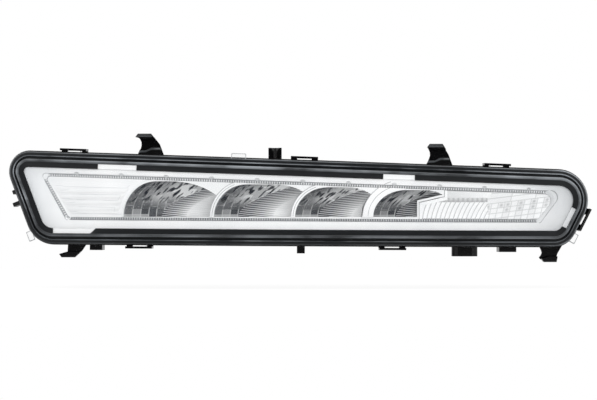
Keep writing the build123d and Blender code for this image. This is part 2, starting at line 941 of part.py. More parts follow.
def cup_strip(cup, start, end):
    """One upright strip of a cup's wall, with flutes low down and facets above them."""
    low = floor_z - cup_floor_thickness / 2
    high = floor_z + cup_heights[cup] + cup_wall
    flute_top = floor_z + ((start + end) / 2 - cup_lefts[cup] - flute_start) / flute_slant
    depth = vertex_ys[cup] - fall(cup, start)
    points = [(depth - rise(cup, low), low)]
    z = floor_z
    while z + flute_pitch < min(flute_top, high - facet_height / 2):
        points.append((depth - rise(cup, z), z))
        points.append((depth - rise(cup, z + flute_pitch / 2) + flute_height, z + flute_pitch / 2))
        z += flute_pitch
    while z < high - facet_height / 2:
        points.append((depth - rise(cup, z), z))
        z += facet_height
    points.append((depth - rise(cup, high), high))
    middle = (low + high) / 2
    for z in (high, (high + middle) / 2, middle, (low + middle) / 2, low):
        points.append((depth - rise(cup, z) + cup_shell, z))
    step = Vector(end - start, fall(cup, start) - fall(cup, end))
    with BuildPart() as strip:
        with BuildSketch(Plane.YZ.offset(start)):
            with BuildLine():
                Polyline(*points, close=True)
            make_face()
        extrude(amount=step.length, dir=step)
    return strip.part


# Reflector bank
bank_region = common(window_face(0), half_plane(end_shoulder_x, -1))
bank_left = half_plane(cup_left_1 - 2 * cup_wall, 1)
bank_face = common(bank_region, bank_left)
bank_space = behind(reflector_front)
cup_bodies = []
for cup in cups:
    start = cup_lefts[cup] - 2 * cup_wall
    end = min(cup_ends[cup] + cup_lobe, sweep_xs[cup] + cup_sweeps[cup]) + cup_wall
    count = max(round((end - start) / facet_width), 2)
    width = (end - start) / count
    strips = [cup_strip(cup, start + turn * width, start + (turn + 1) * width) for turn in range(count)]
    outer = cup_face(cup, cup_wall)
    trim = prism(outer, -front_reach, back_reach)
    collar_face = ring(outer, cup_face(cup, 0))
    collars = [prism(collar_face, -front_reach, rim_ys[cup] + cup_shell)]
    if cup + 1 not in cups:
        end_wall = common(collar_face, half_plane(end_left_x - 2 * cup_wall, 1))
        collars.append(prism(end_wall, rim_ys[cup], vertex_ys[cup] + cup_shell))
    with BuildPart() as cup_body:
        add(strips)
        add(trim, mode=Mode.INTERSECT)
        add(collars)
        add(bank_space, mode=Mode.INTERSECT)
    cup_bodies.append(cup_body.part)
with BuildSketch() as bank_plate_face:
    add(bank_face)
    add([cup_face(cup, 0) for cup in cups], mode=Mode.SUBTRACT)
    add(end_face(cup_wall), mode=Mode.SUBTRACT)
bank_plate = bowed(bank_plate_face.sketch, reflector_front, reflector_front + cup_wall)
screw_places = [
    (reflector_screw_1_x, reflector_screw_y),
    (reflector_screw_2_x, reflector_screw_y),
    (reflector_screw_3_x, reflector_screw_y),
]
floor_left = cup_left_1 - 2 * cup_wall
floor_right = end_left_x - cup_wall
with BuildPart() as cup_floor:
    with BuildSketch(Plane.XY.offset(floor_z - cup_floor_thickness)):
        with Locations(((floor_left + floor_right) / 2, board_back_y / 2)):
            Rectangle(floor_right - floor_left, board_back_y)
    extrude(amount=cup_floor_thickness)
    add(bank_space, mode=Mode.INTERSECT)
with BuildPart() as reflector_bank:
    add(bank_plate)
    add(cup_floor.part)
    add(cup_bodies)
    with BuildSketch(Plane.XY.offset(floor_z - cup_floor_thickness)):
        with Locations(*led_places):
            RegularPolygon(led_size / sqrt(2) + led_clear, round_sides, major_radius=False)
        with Locations(*screw_places):
            RegularPolygon(screw_radius + seat_gap, shank_sides)
    extrude(amount=cup_floor_thickness, mode=Mode.SUBTRACT)
reflector_bank.part.label = "reflector_bank"
export_step(reflector_bank.part, "parts/reflector_bank.step")

# Bezel
cup_openings = [cup_face(cup, 0) for cup in cups]
bezel_border = bowed(
    ring(frame_face(skirt_inner + fit_gap), window_face(window_bevel)), bezel_front, bezel_border_back
)
window_frame = bowed(
    ring(window_face(-window_frame_width), window_face(window_bevel)), bezel_front, field_back
)
with BuildPart() as bezel_frame:
    add(bezel_border)
    add(window_frame)
    bezel_face = bezel_frame.faces().filter_by(GeomType.CYLINDER).sort_by(SortBy.AREA)[-1]
    window_edges = bezel_face.inner_wires()[0].edges()
    chamfer(window_edges, length=window_bevel, length2=window_bevel_depth, reference=bezel_face)
with BuildSketch() as field_face:
    add(window_face(window_bevel - fit_gap))
    add(cup_openings + [end_face(0)], mode=Mode.SUBTRACT)
field_plate = bowed(field_face.sketch, field_front, field_back)
bezel_legs = bowed(
    frame_ring(tub_outer + seat_gap, tub_inner - seat_gap), bezel_border_back - fit_gap, tub_front - seat_gap
)
rim_faces = []
for cup in cups:
    band = ring(lobe_face(cup, cup_rims[cup]), lobe_face(cup, 0))
    rim_faces.append(common(common(band, above(floor_z)), window_face(window_bevel - fit_gap / 2)))
rims = [bowed(face, field_front - rim_rise, field_back - fit_gap) for face in rim_faces]
ledge_field = ring(window_face(window_bevel + ledge_gap), lobe_face(0, ledge_gap + cup_wall))
ledge_pitch = cup_heights[0] / (ledge_count + 1)
ledges = []
for turn in range(ledge_count):
    with BuildSketch() as ledge_face:
        with Locations((0, floor_z + (turn + 1) * ledge_pitch - ledge_pitch / 2)):
            Rectangle(2 * side_reach, ledge_pitch * ledge_share)
        add(ledge_field, mode=Mode.INTERSECT)
    ledges.append(bowed(ledge_face.sketch, field_front - ledge_rise, field_front + fit_gap))
with BuildPart() as bezel:
    add(bezel_frame.part)
    add(field_plate)
    add(bezel_legs)
    add(rims)
    add(ledges)
bezel.part.label = "bezel"
export_step(bezel.part, "parts/bezel.step")


def optic_facet(x, z, width, fall_angle):
    """One tipped facet of the end optic, turned with the bow."""
    place = (x, bow(x) + optic_front, z)
    turn = (facet_tilt, fall_angle, degrees(asin(x / bow_radius)))
    with BuildPart() as block:
        with Locations(Location(place, turn)):
            Box(width, 2 * prism_bulge, facet_row_pitch - facet_block_gap)
    return block.part


# End optic
optic_front = reflector_front + optic_depth
optic_back = optic_front + optic_wall
optic_region = common(window_face(0), end_face(-fit_gap))
optic_hole = common(window_face(window_bevel), end_face(-fit_gap - optic_wall))
optic_plate = bowed(optic_region, optic_front, optic_back)
optic_frame = bowed(ring(optic_region, optic_hole), reflector_front, optic_front + seat_gap)
optic_trim = prism(optic_region, -front_reach, back_reach)
optic_relief = []
for turn in range(prism_count):
    x = end_left_x + (turn + 1) * prism_pitch
    low = floor_z - window_bevel
    with BuildPart() as rib:
        with BuildSketch(Plane.XY.offset(low)):
            with Locations((x, bow(x) + optic_front)):
                Trapezoid(prism_pitch - seat_gap, 2 * prism_bulge, prism_side, rotation=half_turn)
        extrude(amount=end_step_z - low, dir=(prism_lean, 0, 1))
    optic_relief.append(rib.part)
for turn in range(scallop_count):
    x = end_shoulder_x - scallop_pitch + turn * scallop_pitch
    with BuildPart() as scallop:
        with BuildSketch(Plane.XY.offset(end_step_z + fit_gap)):
            with Locations((x, bow(x) + optic_front)):
                Trapezoid(scallop_pitch - fit_gap, 2 * prism_bulge, prism_side, rotation=half_turn)
        extrude(amount=2 * scallop_rise)
    optic_relief.append(scallop.part)
for row in range(facet_block_rows):
    for column in range(facet_block_columns):
        x = facet_start_x + column * facet_block_pitch - row * facet_row_pitch / 2
        z = end_step_z - (row + 1 / 2) * facet_row_pitch
        optic_relief.append(optic_facet(x, z, facet_block_pitch - facet_block_gap, facet_fall))
for row in range(long_facet_count):
    z = end_step_z + (row + 1 / 2) * facet_row_pitch
    optic_relief.append(optic_facet(long_facet_x, z, long_facet_length, long_facet_fall))
with BuildPart() as optic_pattern:
    add(optic_relief)
    add(optic_trim, mode=Mode.INTERSECT)
with BuildPart() as end_optic:
    add(optic_plate)
    add(optic_frame)
    add(optic_pattern.part)
end_optic.part.label = "end_optic"
export_step(end_optic.part, "parts/end_optic.step")

# Light source board
lead_ys = (lead_start_y - lead_pitch / 2, lead_start_y + lead_pitch / 2)
lead_xs = (lead_end_x + lead_pitch / 2, lead_end_x - lead_pitch / 2)
lead_z = board_top + lead_rise
board_width = board_right_x - board_left_x
board_depth = board_back_y - board_front_y
board_middle = ((board_left_x + board_right_x) / 2, (board_front_y + board_back_y) / 2)
with BuildPart() as led_board:
    with BuildSketch(Plane.XY.offset(board_bottom)):
        with Locations(board_middle):
            Rectangle(board_width, board_depth)
        with Locations(*screw_places):
            RegularPolygon(screw_radius + seat_gap, shank_sides, mode=Mode.SUBTRACT)
        with Locations(*[(lead_start_x, y) for y in lead_ys]):
            RegularPolygon(lead_radius + seat_gap, lead_sides, major_radius=False, mode=Mode.SUBTRACT)
    extrude(amount=board_thickness)
led_board.part.label = "led_board"
export_step(led_board.part, "parts/led_board.step")

# Light sources
for cup in cups:
    with BuildPart() as led:
        with BuildSketch(Plane.XY.offset(board_top + seat_gap)):
            with Locations(led_places[cup]):
                Rectangle(led_size, led_size)
        extrude(amount=led_height)
        with BuildSketch(Plane.XY.offset(board_top + seat_gap + led_height)):
            with Locations(led_places[cup]):
                RegularPolygon(led_dome, round_sides)
        extrude(amount=led_dome / 2, taper=led_taper)
    led.part.label = f"led_{cup + 1}"
    export_step(led.part, f"parts/led_{cup + 1}.step")

# Heat sink
fin_count = int((board_width - 2 * fin_inset) / fin_pitch) + 1
fin_places = [board_left_x + fin_inset + turn * fin_pitch for turn in range(fin_count)]
with BuildPart() as heat_sink:
    with BuildSketch(Plane.XY.offset(plate_bottom)):
        with Locations((board_middle[0], (board_front_y + plate_back_y) / 2)):
            Rectangle(board_width, plate_back_y - board_front_y)
        with Locations(*screw_places):
            RegularPolygon(screw_radius + seat_gap, shank_sides, mode=Mode.SUBTRACT)
    extrude(amount=plate_thickness)
    with BuildSketch(front_plane(plate_back_y)):
        with Locations((board_middle[0], (plate_bottom + plate_top_z) / 2)):
            Rectangle(board_width, plate_top_z - plate_bottom)
        with Locations(*sink_places):
            RegularPolygon(screw_radius + seat_gap, shank_sides, mode=Mode.SUBTRACT)
    extrude(amount=plate_thickness)
    with BuildSketch(front_plane(plate_back_y + fin_depth)):
        with Locations(*[(x, (plate_bottom + plate_top_z) / 2) for x in fin_places]):
            Rectangle(fin_width, plate_top_z - plate_bottom)
    extrude(amount=fin_depth)
heat_sink.part.label = "heat_sink"
export_step(heat_sink.part, "parts/heat_sink.step")

# Driver board
driver_width = driver_right_x - driver_left_x
driver_height = driver_top_z - driver_bottom_z
blade_bend_z = driver_bottom_z + driver_screw_inset
with BuildPart() as driver_board:
    with BuildSketch(front_plane(driver_back)):
        with Locations(((driver_left_x + driver_right_x) / 2, (driver_bottom_z + driver_top_z) / 2)):
            Rectangle(driver_width, driver_height)
        with Locations(*driver_places):
            RegularPolygon(screw_radius + seat_gap, shank_sides, mode=Mode.SUBTRACT)
        with Locations(*[(x, lead_z) for x in lead_xs]):
            RegularPolygon(lead_radius + seat_gap, lead_sides, major_radius=False, mode=Mode.SUBTRACT)
        with Locations(*[(x, blade_bend_z) for x, y in blade_places]):
            Rectangle(blade_width + 2 * seat_gap, blade_width + 2 * seat_gap, mode=Mode.SUBTRACT)
    extrude(amount=board_thickness)
driver_board.part.label = "driver_board"
export_step(driver_board.part, "parts/driver_board.step")

# Parts on the driver board
component_y = driver_back + seat_gap
with BuildPart() as driver_coil:
    with BuildSketch(front_plane(component_y + coil_length)):
        with Locations((coil_x, coil_z)):
            RegularPolygon(coil_radius, round_sides)
    extrude(amount=coil_length)
driver_coil.part.label = "driver_coil"
export_step(driver_coil.part, "parts/driver_coil.step")

with BuildPart() as driver_capacitors:
    with BuildSketch(front_plane(component_y + capacitor_length)):
        with Locations((capacitor_x, capacitor_z)):
            with GridLocations(1, capacitor_pitch, 1, 2):
                RegularPolygon(capacitor_radius, round_sides)
    extrude(amount=capacitor_length)
driver_capacitors.part.label = "driver_capacitors"
export_step(driver_capacitors.part, "parts/driver_capacitors.step")

with BuildPart() as driver_chip:
    with BuildSketch(front_plane(component_y + chip_height)):
        with Locations((chip_x, chip_z)):
            Rectangle(chip_size, chip_size)
    extrude(amount=chip_height)
driver_chip.part.label = "driver_chip"
export_step(driver_chip.part, "parts/driver_chip.step")

# Wires between the boards
with BuildPart() as board_leads:
    for start_y, end_x in zip(lead_ys, lead_xs):
        with BuildLine() as route:
            FilletPolyline(
                (lead_start_x, start_y, board_bottom + seat_gap),
                (lead_start_x, start_y, lead_z),
                (end_x, start_y, lead_z),
                (end_x, driver_back - seat_gap, lead_z),
                radius=lead_bend,
            )
        with BuildSketch(Plane((lead_start_x, start_y, board_bottom + seat_gap))):
            RegularPolygon(lead_radius, lead_sides)
        sweep(path=route.line)
board_leads.part.label = "board_leads"
export_step(board_leads.part, "parts/board_leads.step")

# Connector blades
blade_tip = connector_mouth + blade_tip_setback
blade_end = driver_back + blade_width
with BuildPart() as connector_terminals:
    with BuildSketch(Plane.XY.offset(blade_tip)):
        with Locations(*blade_places):
            Rectangle(blade_width, blade_width)
    extrude(amount=blade_bend_z + blade_width / 2 - blade_tip)
    with BuildSketch(front_plane(blade_end)):
        with Locations(*[(x, blade_bend_z) for x, y in blade_places]):
            Rectangle(blade_width, blade_width)
    extrude(amount=blade_end - connector_y)
connector_terminals.part.label = "connector_terminals"
export_step(connector_terminals.part, "parts/connector_terminals.step")

# Breather
membrane_front = back_depth + vent_collar_rise + seat_gap
cap_front = back_depth + vent_lift
cap_back = cap_front + vent_cap_height
cap_hollow = membrane_front + membrane_thickness + seat_gap
with BuildPart() as vent_membrane:
    with BuildSketch(front_plane(membrane_front + membrane_thickness)):
        with Locations((vent_x, vent_z)):
            RegularPolygon(vent_collar_radius - seat_gap, round_sides)
    extrude(amount=membrane_thickness)
vent_membrane.part.label = "vent_membrane"
export_step(vent_membrane.part, "parts/vent_membrane.step")

with BuildPart() as vent_cap:
    with BuildSketch(front_plane(cap_back)):
        with Locations((vent_x, vent_z)):
            Circle(vent_cap_radius)
    extrude(amount=cap_back - cap_front)
    chamfer(vent_cap.edges().sort_by(Axis.Y)[-1], vent_lift)
    with BuildSketch(front_plane(cap_hollow)):
        with Locations((vent_x, vent_z)):
            Circle(vent_collar_radius + seat_gap)
    extrude(amount=cap_hollow - cap_front, mode=Mode.SUBTRACT)
vent_cap.part.label = "vent_cap"
export_step(vent_cap.part, "parts/vent_cap.step")

# Screws
with BuildPart() as reflector_screws:
    with BuildSketch(Plane.XY.offset(floor_z + seat_gap)):
        with Locations(*screw_places):
            RegularPolygon(screw_head_radius, head_sides)
    extrude(amount=screw_head_height)
    with BuildSketch(Plane.XY.offset(floor_z + seat_gap - reflector_screw_length)):
        with Locations(*screw_places):
            RegularPolygon(screw_radius, shank_sides)
    extrude(amount=reflector_screw_length)
reflector_screws.part.label = "reflector_screws"
export_step(reflector_screws.part, "parts/reflector_screws.step")

screw_sets = (
    ("heat_sink_screws", sink_places, plate_back_y - plate_thickness - seat_gap),
    ("driver_board_screws", driver_places, driver_y - seat_gap),
)
for name, places, seat in screw_sets:
    with BuildPart() as screws:
        with BuildSketch(front_plane(seat)):
            with Locations(*places):
                RegularPolygon(screw_head_radius, head_sides)
        extrude(amount=screw_head_height)
        with BuildSketch(front_plane(seat + screw_length)):
            with Locations(*places):
                RegularPolygon(screw_radius, shank_sides)
        extrude(amount=screw_length)
    screws.part.label = name
    export_step(screws.part, f"parts/{name}.step")
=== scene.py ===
import math
from itertools import groupby
from types import SimpleNamespace

import bmesh
import bpy
from bpy.props import FloatProperty, FloatVectorProperty, IntProperty, PointerProperty
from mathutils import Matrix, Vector, noise


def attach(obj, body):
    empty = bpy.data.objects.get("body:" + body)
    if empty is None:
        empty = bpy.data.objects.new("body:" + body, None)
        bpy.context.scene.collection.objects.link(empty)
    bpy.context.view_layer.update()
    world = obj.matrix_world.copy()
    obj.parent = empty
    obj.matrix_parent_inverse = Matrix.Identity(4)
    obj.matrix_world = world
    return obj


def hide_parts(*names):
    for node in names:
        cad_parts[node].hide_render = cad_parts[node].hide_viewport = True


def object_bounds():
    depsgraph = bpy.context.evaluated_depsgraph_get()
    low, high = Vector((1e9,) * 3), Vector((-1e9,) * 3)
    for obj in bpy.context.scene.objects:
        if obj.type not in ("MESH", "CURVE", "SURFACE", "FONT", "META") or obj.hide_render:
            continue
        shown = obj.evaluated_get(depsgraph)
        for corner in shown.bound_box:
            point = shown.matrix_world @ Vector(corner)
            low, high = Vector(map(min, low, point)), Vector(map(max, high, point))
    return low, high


bl_info = {
    "name": "Daytime running light",
    "version": (1, 0, 0),
    "blender": (4, 5, 0),
    "location": "View3D > Sidebar > Lamp",
    "description": "Dresses a daytime running light: seal, cover, bezel, cups, optics and stage",
    "category": "Add Mesh",
}

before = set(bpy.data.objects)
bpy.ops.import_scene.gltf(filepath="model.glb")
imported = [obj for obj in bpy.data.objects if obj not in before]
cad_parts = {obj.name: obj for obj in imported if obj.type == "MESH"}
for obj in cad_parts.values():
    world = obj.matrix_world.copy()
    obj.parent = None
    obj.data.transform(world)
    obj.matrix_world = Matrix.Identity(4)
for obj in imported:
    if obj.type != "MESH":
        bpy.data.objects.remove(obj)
CAD_LOW, CAD_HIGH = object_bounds()
BODY = "root"
MM = 0.001
LOWER, RIGHT, UPPER, LEFT = range(4)  # sides of the front outline, in order
PATH_STEP = 1.0 * MM
FRAME_ARC, WINDOW_ARC = 16, 8  # steps round a corner
PROBE_DEPTH = -200 * MM  # in front of the whole lamp
EDGE_ANGLE = math.radians(30)
WHITE = (1, 1, 1)
GRAIN_DEPTH = 0.2 * MM
TONE_POWER = 1.9  # from how light a point should look to its share of the light colour
SHOULDER_SLOPE = 4.0 / 17.5  # of the border between the last cup and the end optic


def length(label, words, value):
    """A length in metres, from a default in millimetres."""
    return FloatProperty(name=label, description=words, default=value * MM, unit="LENGTH", precision=5)


def amount(label, words, value):
    """A plain number."""
    return FloatProperty(name=label, description=words, default=value)


def colour(label, words, value):
    """A colour with red, green and blue."""
    return FloatVectorProperty(
        name=label, description=words, default=value, subtype="COLOR", size=3, min=0, max=1
    )


class OutlineSettings(bpy.types.PropertyGroup):
    """Front outline of the lamp, its corners and its bow."""

    base_length: length("Base length", "Length of the lower edge between sharp corners", 371.2)
    base_shift: length("Base shift", "How far right the lower edge's middle lies", 2.5)
    base_level: length("Base level", "Height of the lower left corner", -30.2)
    base_drop: length("Base drop", "How far the lower edge falls to the right", 2.05)
    left_height: length("Left height", "Height of the left end", 64.75)
    right_height: length("Right height", "Height of the right end", 51.85)
    left_lean: length("Left lean", "How far the left end leans outwards", 24.7)
    right_lean: length("Right lean", "How far the right end leans outwards", 26.7)
    lower_left: length("Lower left corner", "Corner radius", 19.5)
    lower_right: length("Lower right corner", "Corner radius", 16.8)
    upper_right: length("Upper right corner", "Corner radius", 21.0)
    upper_left: length("Upper left corner", "Corner radius", 14.0)
    bow: length("Bow radius", "Radius of the plan bow", 1000.0)


class SealSettings(bpy.types.PropertyGroup):
    """Section of the rubber frame."""

    seat: length("Seat", "How far the back stands off the flange", 0.05)
    outer_width: length("Outer ridge width", "Width of the outer ridge", 3.3)
    outer_rise: length("Outer ridge height", "Height of the outer ridge over the flange", 5.2)
    groove_width: length("Groove width", "Width of the groove between the ridges", 1.8)
    groove_floor: length("Groove floor", "Height of the groove's floor", 1.6)
    inner_width: length("Inner ridge width", "Width of the inner ridge", 2.05)
    inner_rise: length("Inner ridge height", "Height of the inner ridge over the flange", 9.8)
    lip_width: length("Lip width", "How far the lip reaches over the cover", 3.75)
    lip_back: length("Lip back", "Height of the lip's underside", 8.05)
    lip_front: length("Lip front", "Height of the lip's top", 9.35)
    soft_edge: length("Soft edge", "Rounding of the ridges", 0.95)
    rubber: colour("Rubber", "Colour of the rubber", (0.0068, 0.0078, 0.009))
    # painted highlight colour, laid on the seal's crests and mixed in by the attribute "crest"
    crest: colour("Crest highlight", "Colour of the rubber along its shiny crests", (0.335, 0.36, 0.385))


class HousingSettings(bpy.types.PropertyGroup):
    """Hooks and plastic of the housing."""

    hook_base: length("Hook base", "Width of an upper hook at the frame", 19.4)
    hook_reach: length("Hook reach", "Height of an upper hook over the frame", 15.5)
    foot_step: length("Foot step", "How far a hook's foot stands out of its web", 2.2)
    web_depth: length("Web depth", "Depth of a hook's web behind the seal plane", 16.7)
    lip_depth: length("Lip depth", "Depth of a hook's folded lip behind the seal plane", 10.5)
    lip_half: length("Lip half width", "Half the width of a hook's folded lip", 4.25)
    plastic: colour("Black plastic", "Colour of the moulding", (0.002, 0.002, 0.0023))
    sheen: colour("Sheen", "Colour of the hooks where they catch light", (0.1, 0.108, 0.115))


class BezelSettings(bpy.types.PropertyGroup):
    """Window, beaded edge and silver finish of the bezel."""

    window_bottom: length("Window bottom margin", "From the lower edge to the window", 16.4)
    window_right: length("Window right margin", "From the right edge to the window", 22.9)
    window_top: length("Window top margin", "From the upper edge to the window", 14.6)
    window_left: length("Window left margin", "From the left edge to the window", 24.0)
    window_rake: length("Window rake", "Extra lean of the window's two ends", 2.8)
    window_corner: length("Window corner", "Corner radius of the window", 2.0)
    window_tip: length("Window tip", "Radius of the window's upper right corner", 5.0)
    front: length("Bezel front", "Depth of the bezel's front behind the seal plane", -5.1)
    bevel: length("Bevel", "Width of the sloped window edge", 2.2)
    bevel_depth: length("Bevel depth", "Depth of the sloped window edge", 2.6)
    knurl_pitch: length("Bead pitch", "Pitch of the beads on the sloped edge", 1.67)
    bump_pitch: length("Bump pitch", "Pitch of the half-round bumps", 31.4)
    bump_count: IntProperty(name="Bump count", description="Gaps between the bumps", default=10, min=1)
    first_bump: length("First bump", "Place across of the leftmost bump", -154.0)
    silver: colour("Satin silver", "Colour of the metallised plastic", (0.91, 0.915, 0.92))
    # painted shade: grey for the lines along the edges of the window's slope at its right end
    knurl_tone: colour("End line tone", "Colour of the lines at the window's right end", (0.36, 0.37, 0.38))
    # painted shade: a darker copy of the satin silver
    bump_tone: colour("Bump tone", "Colour of the half-round bumps", (0.7, 0.71, 0.72))
    # painted shade: grey for the window's lower slope
    sill_tone: colour("Sill tone", "Colour of the window's lower slope", (0.24, 0.25, 0.262))
    # painted shade: grey for the slope behind the beads
    band_tone: colour("Band tone", "Colour of the slope behind the beads", (0.36, 0.37, 0.385))


class CupSettings(bpy.types.PropertyGroup):
    """Reflector cups, their flutes and their facets."""

    depth: length("Cup depth", "Depth of a cup behind its rim", 26.0)
    lobe: length("Lobe", "Half width of a cup's left lobe", 22.5)
    flute_pitch: length("Flute pitch", "Pitch of the flutes", 1.45)
    flute_height: length("Flute height", "Height of the flutes", 0.42)
    flute_fade: length("Flute fade", "Length over which the flutes run out", 20.0)
    facet_width: length("Facet width", "Width of a facet", 5.3)
    facet_height: length("Facet height", "Height of a facet", 8.0)
    facet_bulge: length("Facet bulge", "How far a facet swells", 0.2)
    facet_tilt: length("Facet tilt", "How far a facet tips from one end to the other", 0.5)
    seam_height: length("Seam height", "Height of the fine ridges between facets", 0.16)
    seam_width: length("Seam width", "Half width of the fine ridges between facets", 0.4)
    proud: length("Skin offset", "How far the bright skin stands off the moulding", 1.3)
    skin: length("Skin", "Thickness of the bright skin", 0.3)
    metal: colour("Bright metal", "Colour of the bright coating", (0.80, 0.81, 0.82))
    # painted reflections: the dark and light colours that the cups' painted tone mixes
    dark_reflection: colour("Deep tone", "Colour of the coating in its deepest facets", (0.005, 0.013, 0.027))
    light_reflection: colour("Light tone", "Colour of the coating where the flutes run out", (0.975, 0.98, 0.985))


class OpticSettings(bpy.types.PropertyGroup):
    """Ribs and facets of the optic at the right end."""

    left: length("Left edge", "Place across of the optic's left edge", 83.5)
    step: length("Step", "Height of the step over the ribs", -1.5)
    shoulder: length("Shoulder", "Place across where the shoulder ends", 103.2)
    face: length("Face", "Depth of the face behind the seal plane", 0.0)
    skin: length("Skin", "Thickness of the face", 0.3)
    rib_pitch: length("Rib pitch", "Pitch of the upright ribs", 3.05)
    # painted shade: colour of the grey lines on the optic's face
    line: colour("Line", "Colour of the lines where prisms meet", (0.08, 0.085, 0.09))
    facet_start: length("Facet start", "Place across where the end facets begin", 136.0)
    # reach of the painted crease shade
    crease_reach: length("Crease reach", "How wide the dark lines in the creases are", 0.9)
    clear: colour("Clear plastic", "Colour of the clear optic", (0.965, 0.97, 0.975))


class StageSettings(bpy.types.PropertyGroup):
    """Floor, lamps and camera."""

    distance: length("Camera distance", "From the seal plane", 1600.0)
    aim: length("Camera aim", "Sideways place of the picture's middle", 0.35)
    focal: amount("Focal length", "Lens of the camera in millimetres", 139.8)
    floor_drop: length("Floor gap", "Gap between the lamp and the floor", 18.0)
    fill: amount("Room light", "Strength of the even room light", 0.36)
    card_width: length("Card width", "Width of the dark card", 2400.0)
    card_height: length("Card height", "Height of the dark card", 1700.0)
    key: amount("Key light", "Power of the overhead softbox in watts", 2.5)
    front: amount("Front light", "Power of the front softbox in watts", 21.5)


def settings(part):
    """Settings of one part of the lamp."""
    return getattr(bpy.context.scene, "drl_" + part)


def ramp(value, start, end):
    """Share of the way from a start to an end, kept from 0 to 1."""
    return min(1.0, max(0.0, (value - start) / (end - start)))


def ridge(gap, width):
    """Height of a soft ridge of height 1 at a gap from its middle."""
    return math.exp(-((gap / width) ** 2))


def to_seam(place):
    """Gap to the nearest whole number, where a pattern has its seams."""
    return min(place % 1, 1 - place % 1)


def scatter(column, row):
    """Fixed number from -1 to 1 for a cell of a pattern."""
    return math.sin(12.99 * math.floor(column) + 78.23 * math.floor(row))


def clouds_at(x, z, wide, high, seed):
    """Soft noise with blotches of a width and height in millimetres."""
    return noise.noise(Vector((x / (wide * MM), z / (high * MM), seed)))


def outline_corners():
    """Sharp corners of the front outline, from the lower left round to the upper left."""
    s = settings("outline")
    a = Vector((s.base_shift - s.base_length / 2, s.base_level))
    b = Vector((s.base_shift + s.base_length / 2, s.base_level - s.base_drop))
    c = b + Vector((s.right_lean, s.right_height))
    d = a + Vector((-s.left_lean, s.left_height))
    return [a, b, c, d]


def side_line(side, margin):
    """A side of the outline, moved inwards, as a point and a direction."""
    corners = outline_corners()
    start, end = corners[side % 4], corners[(side + 1) % 4]
    along = (end - start).normalized()
    return start + Vector((-along.y, along.x)) * margin, along


def crossing(first, second):
    """Where two lines meet."""
    (p, a), (q, b) = first, second
    gap = q - p
    return p + a * ((gap.x * b.y - gap.y * b.x) / (a.x * b.y - a.y * b.x))


def line_z(line, x):
    """Height of a line at a place across."""
    p, a = line
    return p.y + a.y * (x - p.x) / a.x


def inset_corners(margins):
    """Corners of the outline with each side moved inwards."""
    return [crossing(side_line(i - 1, margins[i - 1]), side_line(i, margins[i])) for i in range(4)]


def side_counts(corners):
    """How many steps each side of a closed outline takes."""
    count = len(corners)
    return [max(1, round((corners[(i + 1) % count] - corners[i]).length / PATH_STEP)) for i in range(count)]


def rounded_path(corners, radii, counts, arc_steps):
    """Closed path with rounded corners, as points with the side that each lies on (None on a corner)."""
    count = len(corners)
    arcs = []
    for i, corner in enumerate(corners):
        back = (corners[i - 1] - corner).normalized()
        ahead = (corners[(i + 1) % count] - corner).normalized()
        half = math.acos(max(-1, min(1, back.dot(ahead)))) / 2
        reach = radii[i] / math.tan(half)
        centre = corner + (back + ahead).normalized() * (radii[i] / math.sin(half))
        start, end = corner + back * reach, corner + ahead * reach
        from_angle = math.atan2(start.y - centre.y, start.x - centre.x)
        turn = math.atan2(end.y - centre.y, end.x - centre.x) - from_angle
        turn = (turn + math.pi) % (2 * math.pi) - math.pi
        angles = [from_angle + turn * k / arc_steps for k in range(arc_steps + 1)]
        arcs.append([centre + Vector((math.cos(angle), math.sin(angle))) * radii[i] for angle in angles])
    path = []
    for i in range(count):
        path += [(p, None) for p in arcs[i]]
        start, end = arcs[i][-1], arcs[(i + 1) % count][0]
        path += [(start.lerp(end, k / counts[i]), i) for k in range(1, counts[i])]
    return path


def frame_path(inset):
    """The lamp's outline, moved inwards, with matching points at every inset."""
    s = settings("outline")
    radii = [max(r - inset, 1.5 * MM) for r in (s.lower_left, s.lower_right, s.upper_right, s.upper_left)]
    return rounded_path(inset_corners([inset] * 4), radii, side_counts(outline_corners()), FRAME_ARC)


def window_corners(inset):
    """Sharp corners of the bezel's window, moved inwards, with both ends raked."""
    b = settings("bezel")
    margins = [b.window_bottom, b.window_right, b.window_top, b.window_left]
    corners = inset_corners([m + inset for m in margins])
    rakes = (b.window_rake, -b.window_rake, b.window_rake, -b.window_rake)
    return [corner + Vector((rake, 0)) for corner, rake in zip(corners, rakes)]


def window_path(inset):
    """Outline of the bezel's window, moved inwards, with matching points at every inset."""
    b = settings("bezel")
    radii = (b.window_corner, b.window_corner, b.window_tip, b.window_corner)
    return rounded_path(window_corners(inset), radii, side_counts(window_corners(0.0)), WINDOW_ARC)


def bow(x):
    """Depth of the bowed seal plane at a place across."""
    r = settings("outline").bow
    return r - math.sqrt(r * r - x * x)


def placed(point, depth):
    """A front-view point set on the bow at a depth."""
    return (point.x, bow(point.x) + depth, point.y)


def boxed(start, end, front, back):
    """Four corners of a box-shaped section."""
    return (start, front), (end, front), (end, back), (start, back)


def rounded_section(points, radii, steps=4):
    """Open section line with rounded corners, as (inset, depth) pairs."""
    line = []
    for i, (point, radius) in enumerate(zip(points, radii)):
        p = Vector(point)
        if radius <= 0:
            line.append(p)
            continue
        back = Vector(points[i - 1]) - p
        ahead = Vector(points[i + 1]) - p
        half = back.angle(ahead) / 2
        reach = min(radius / math.tan(half), back.length * 0.49, ahead.length * 0.49)
        start, end = p + back.normalized() * reach, p + ahead.normalized() * reach
        for k in range(steps + 1):
            t = k / steps
            line.append(start * (1 - t) ** 2 + p * (2 * t * (1 - t)) + end * t**2)
    return line


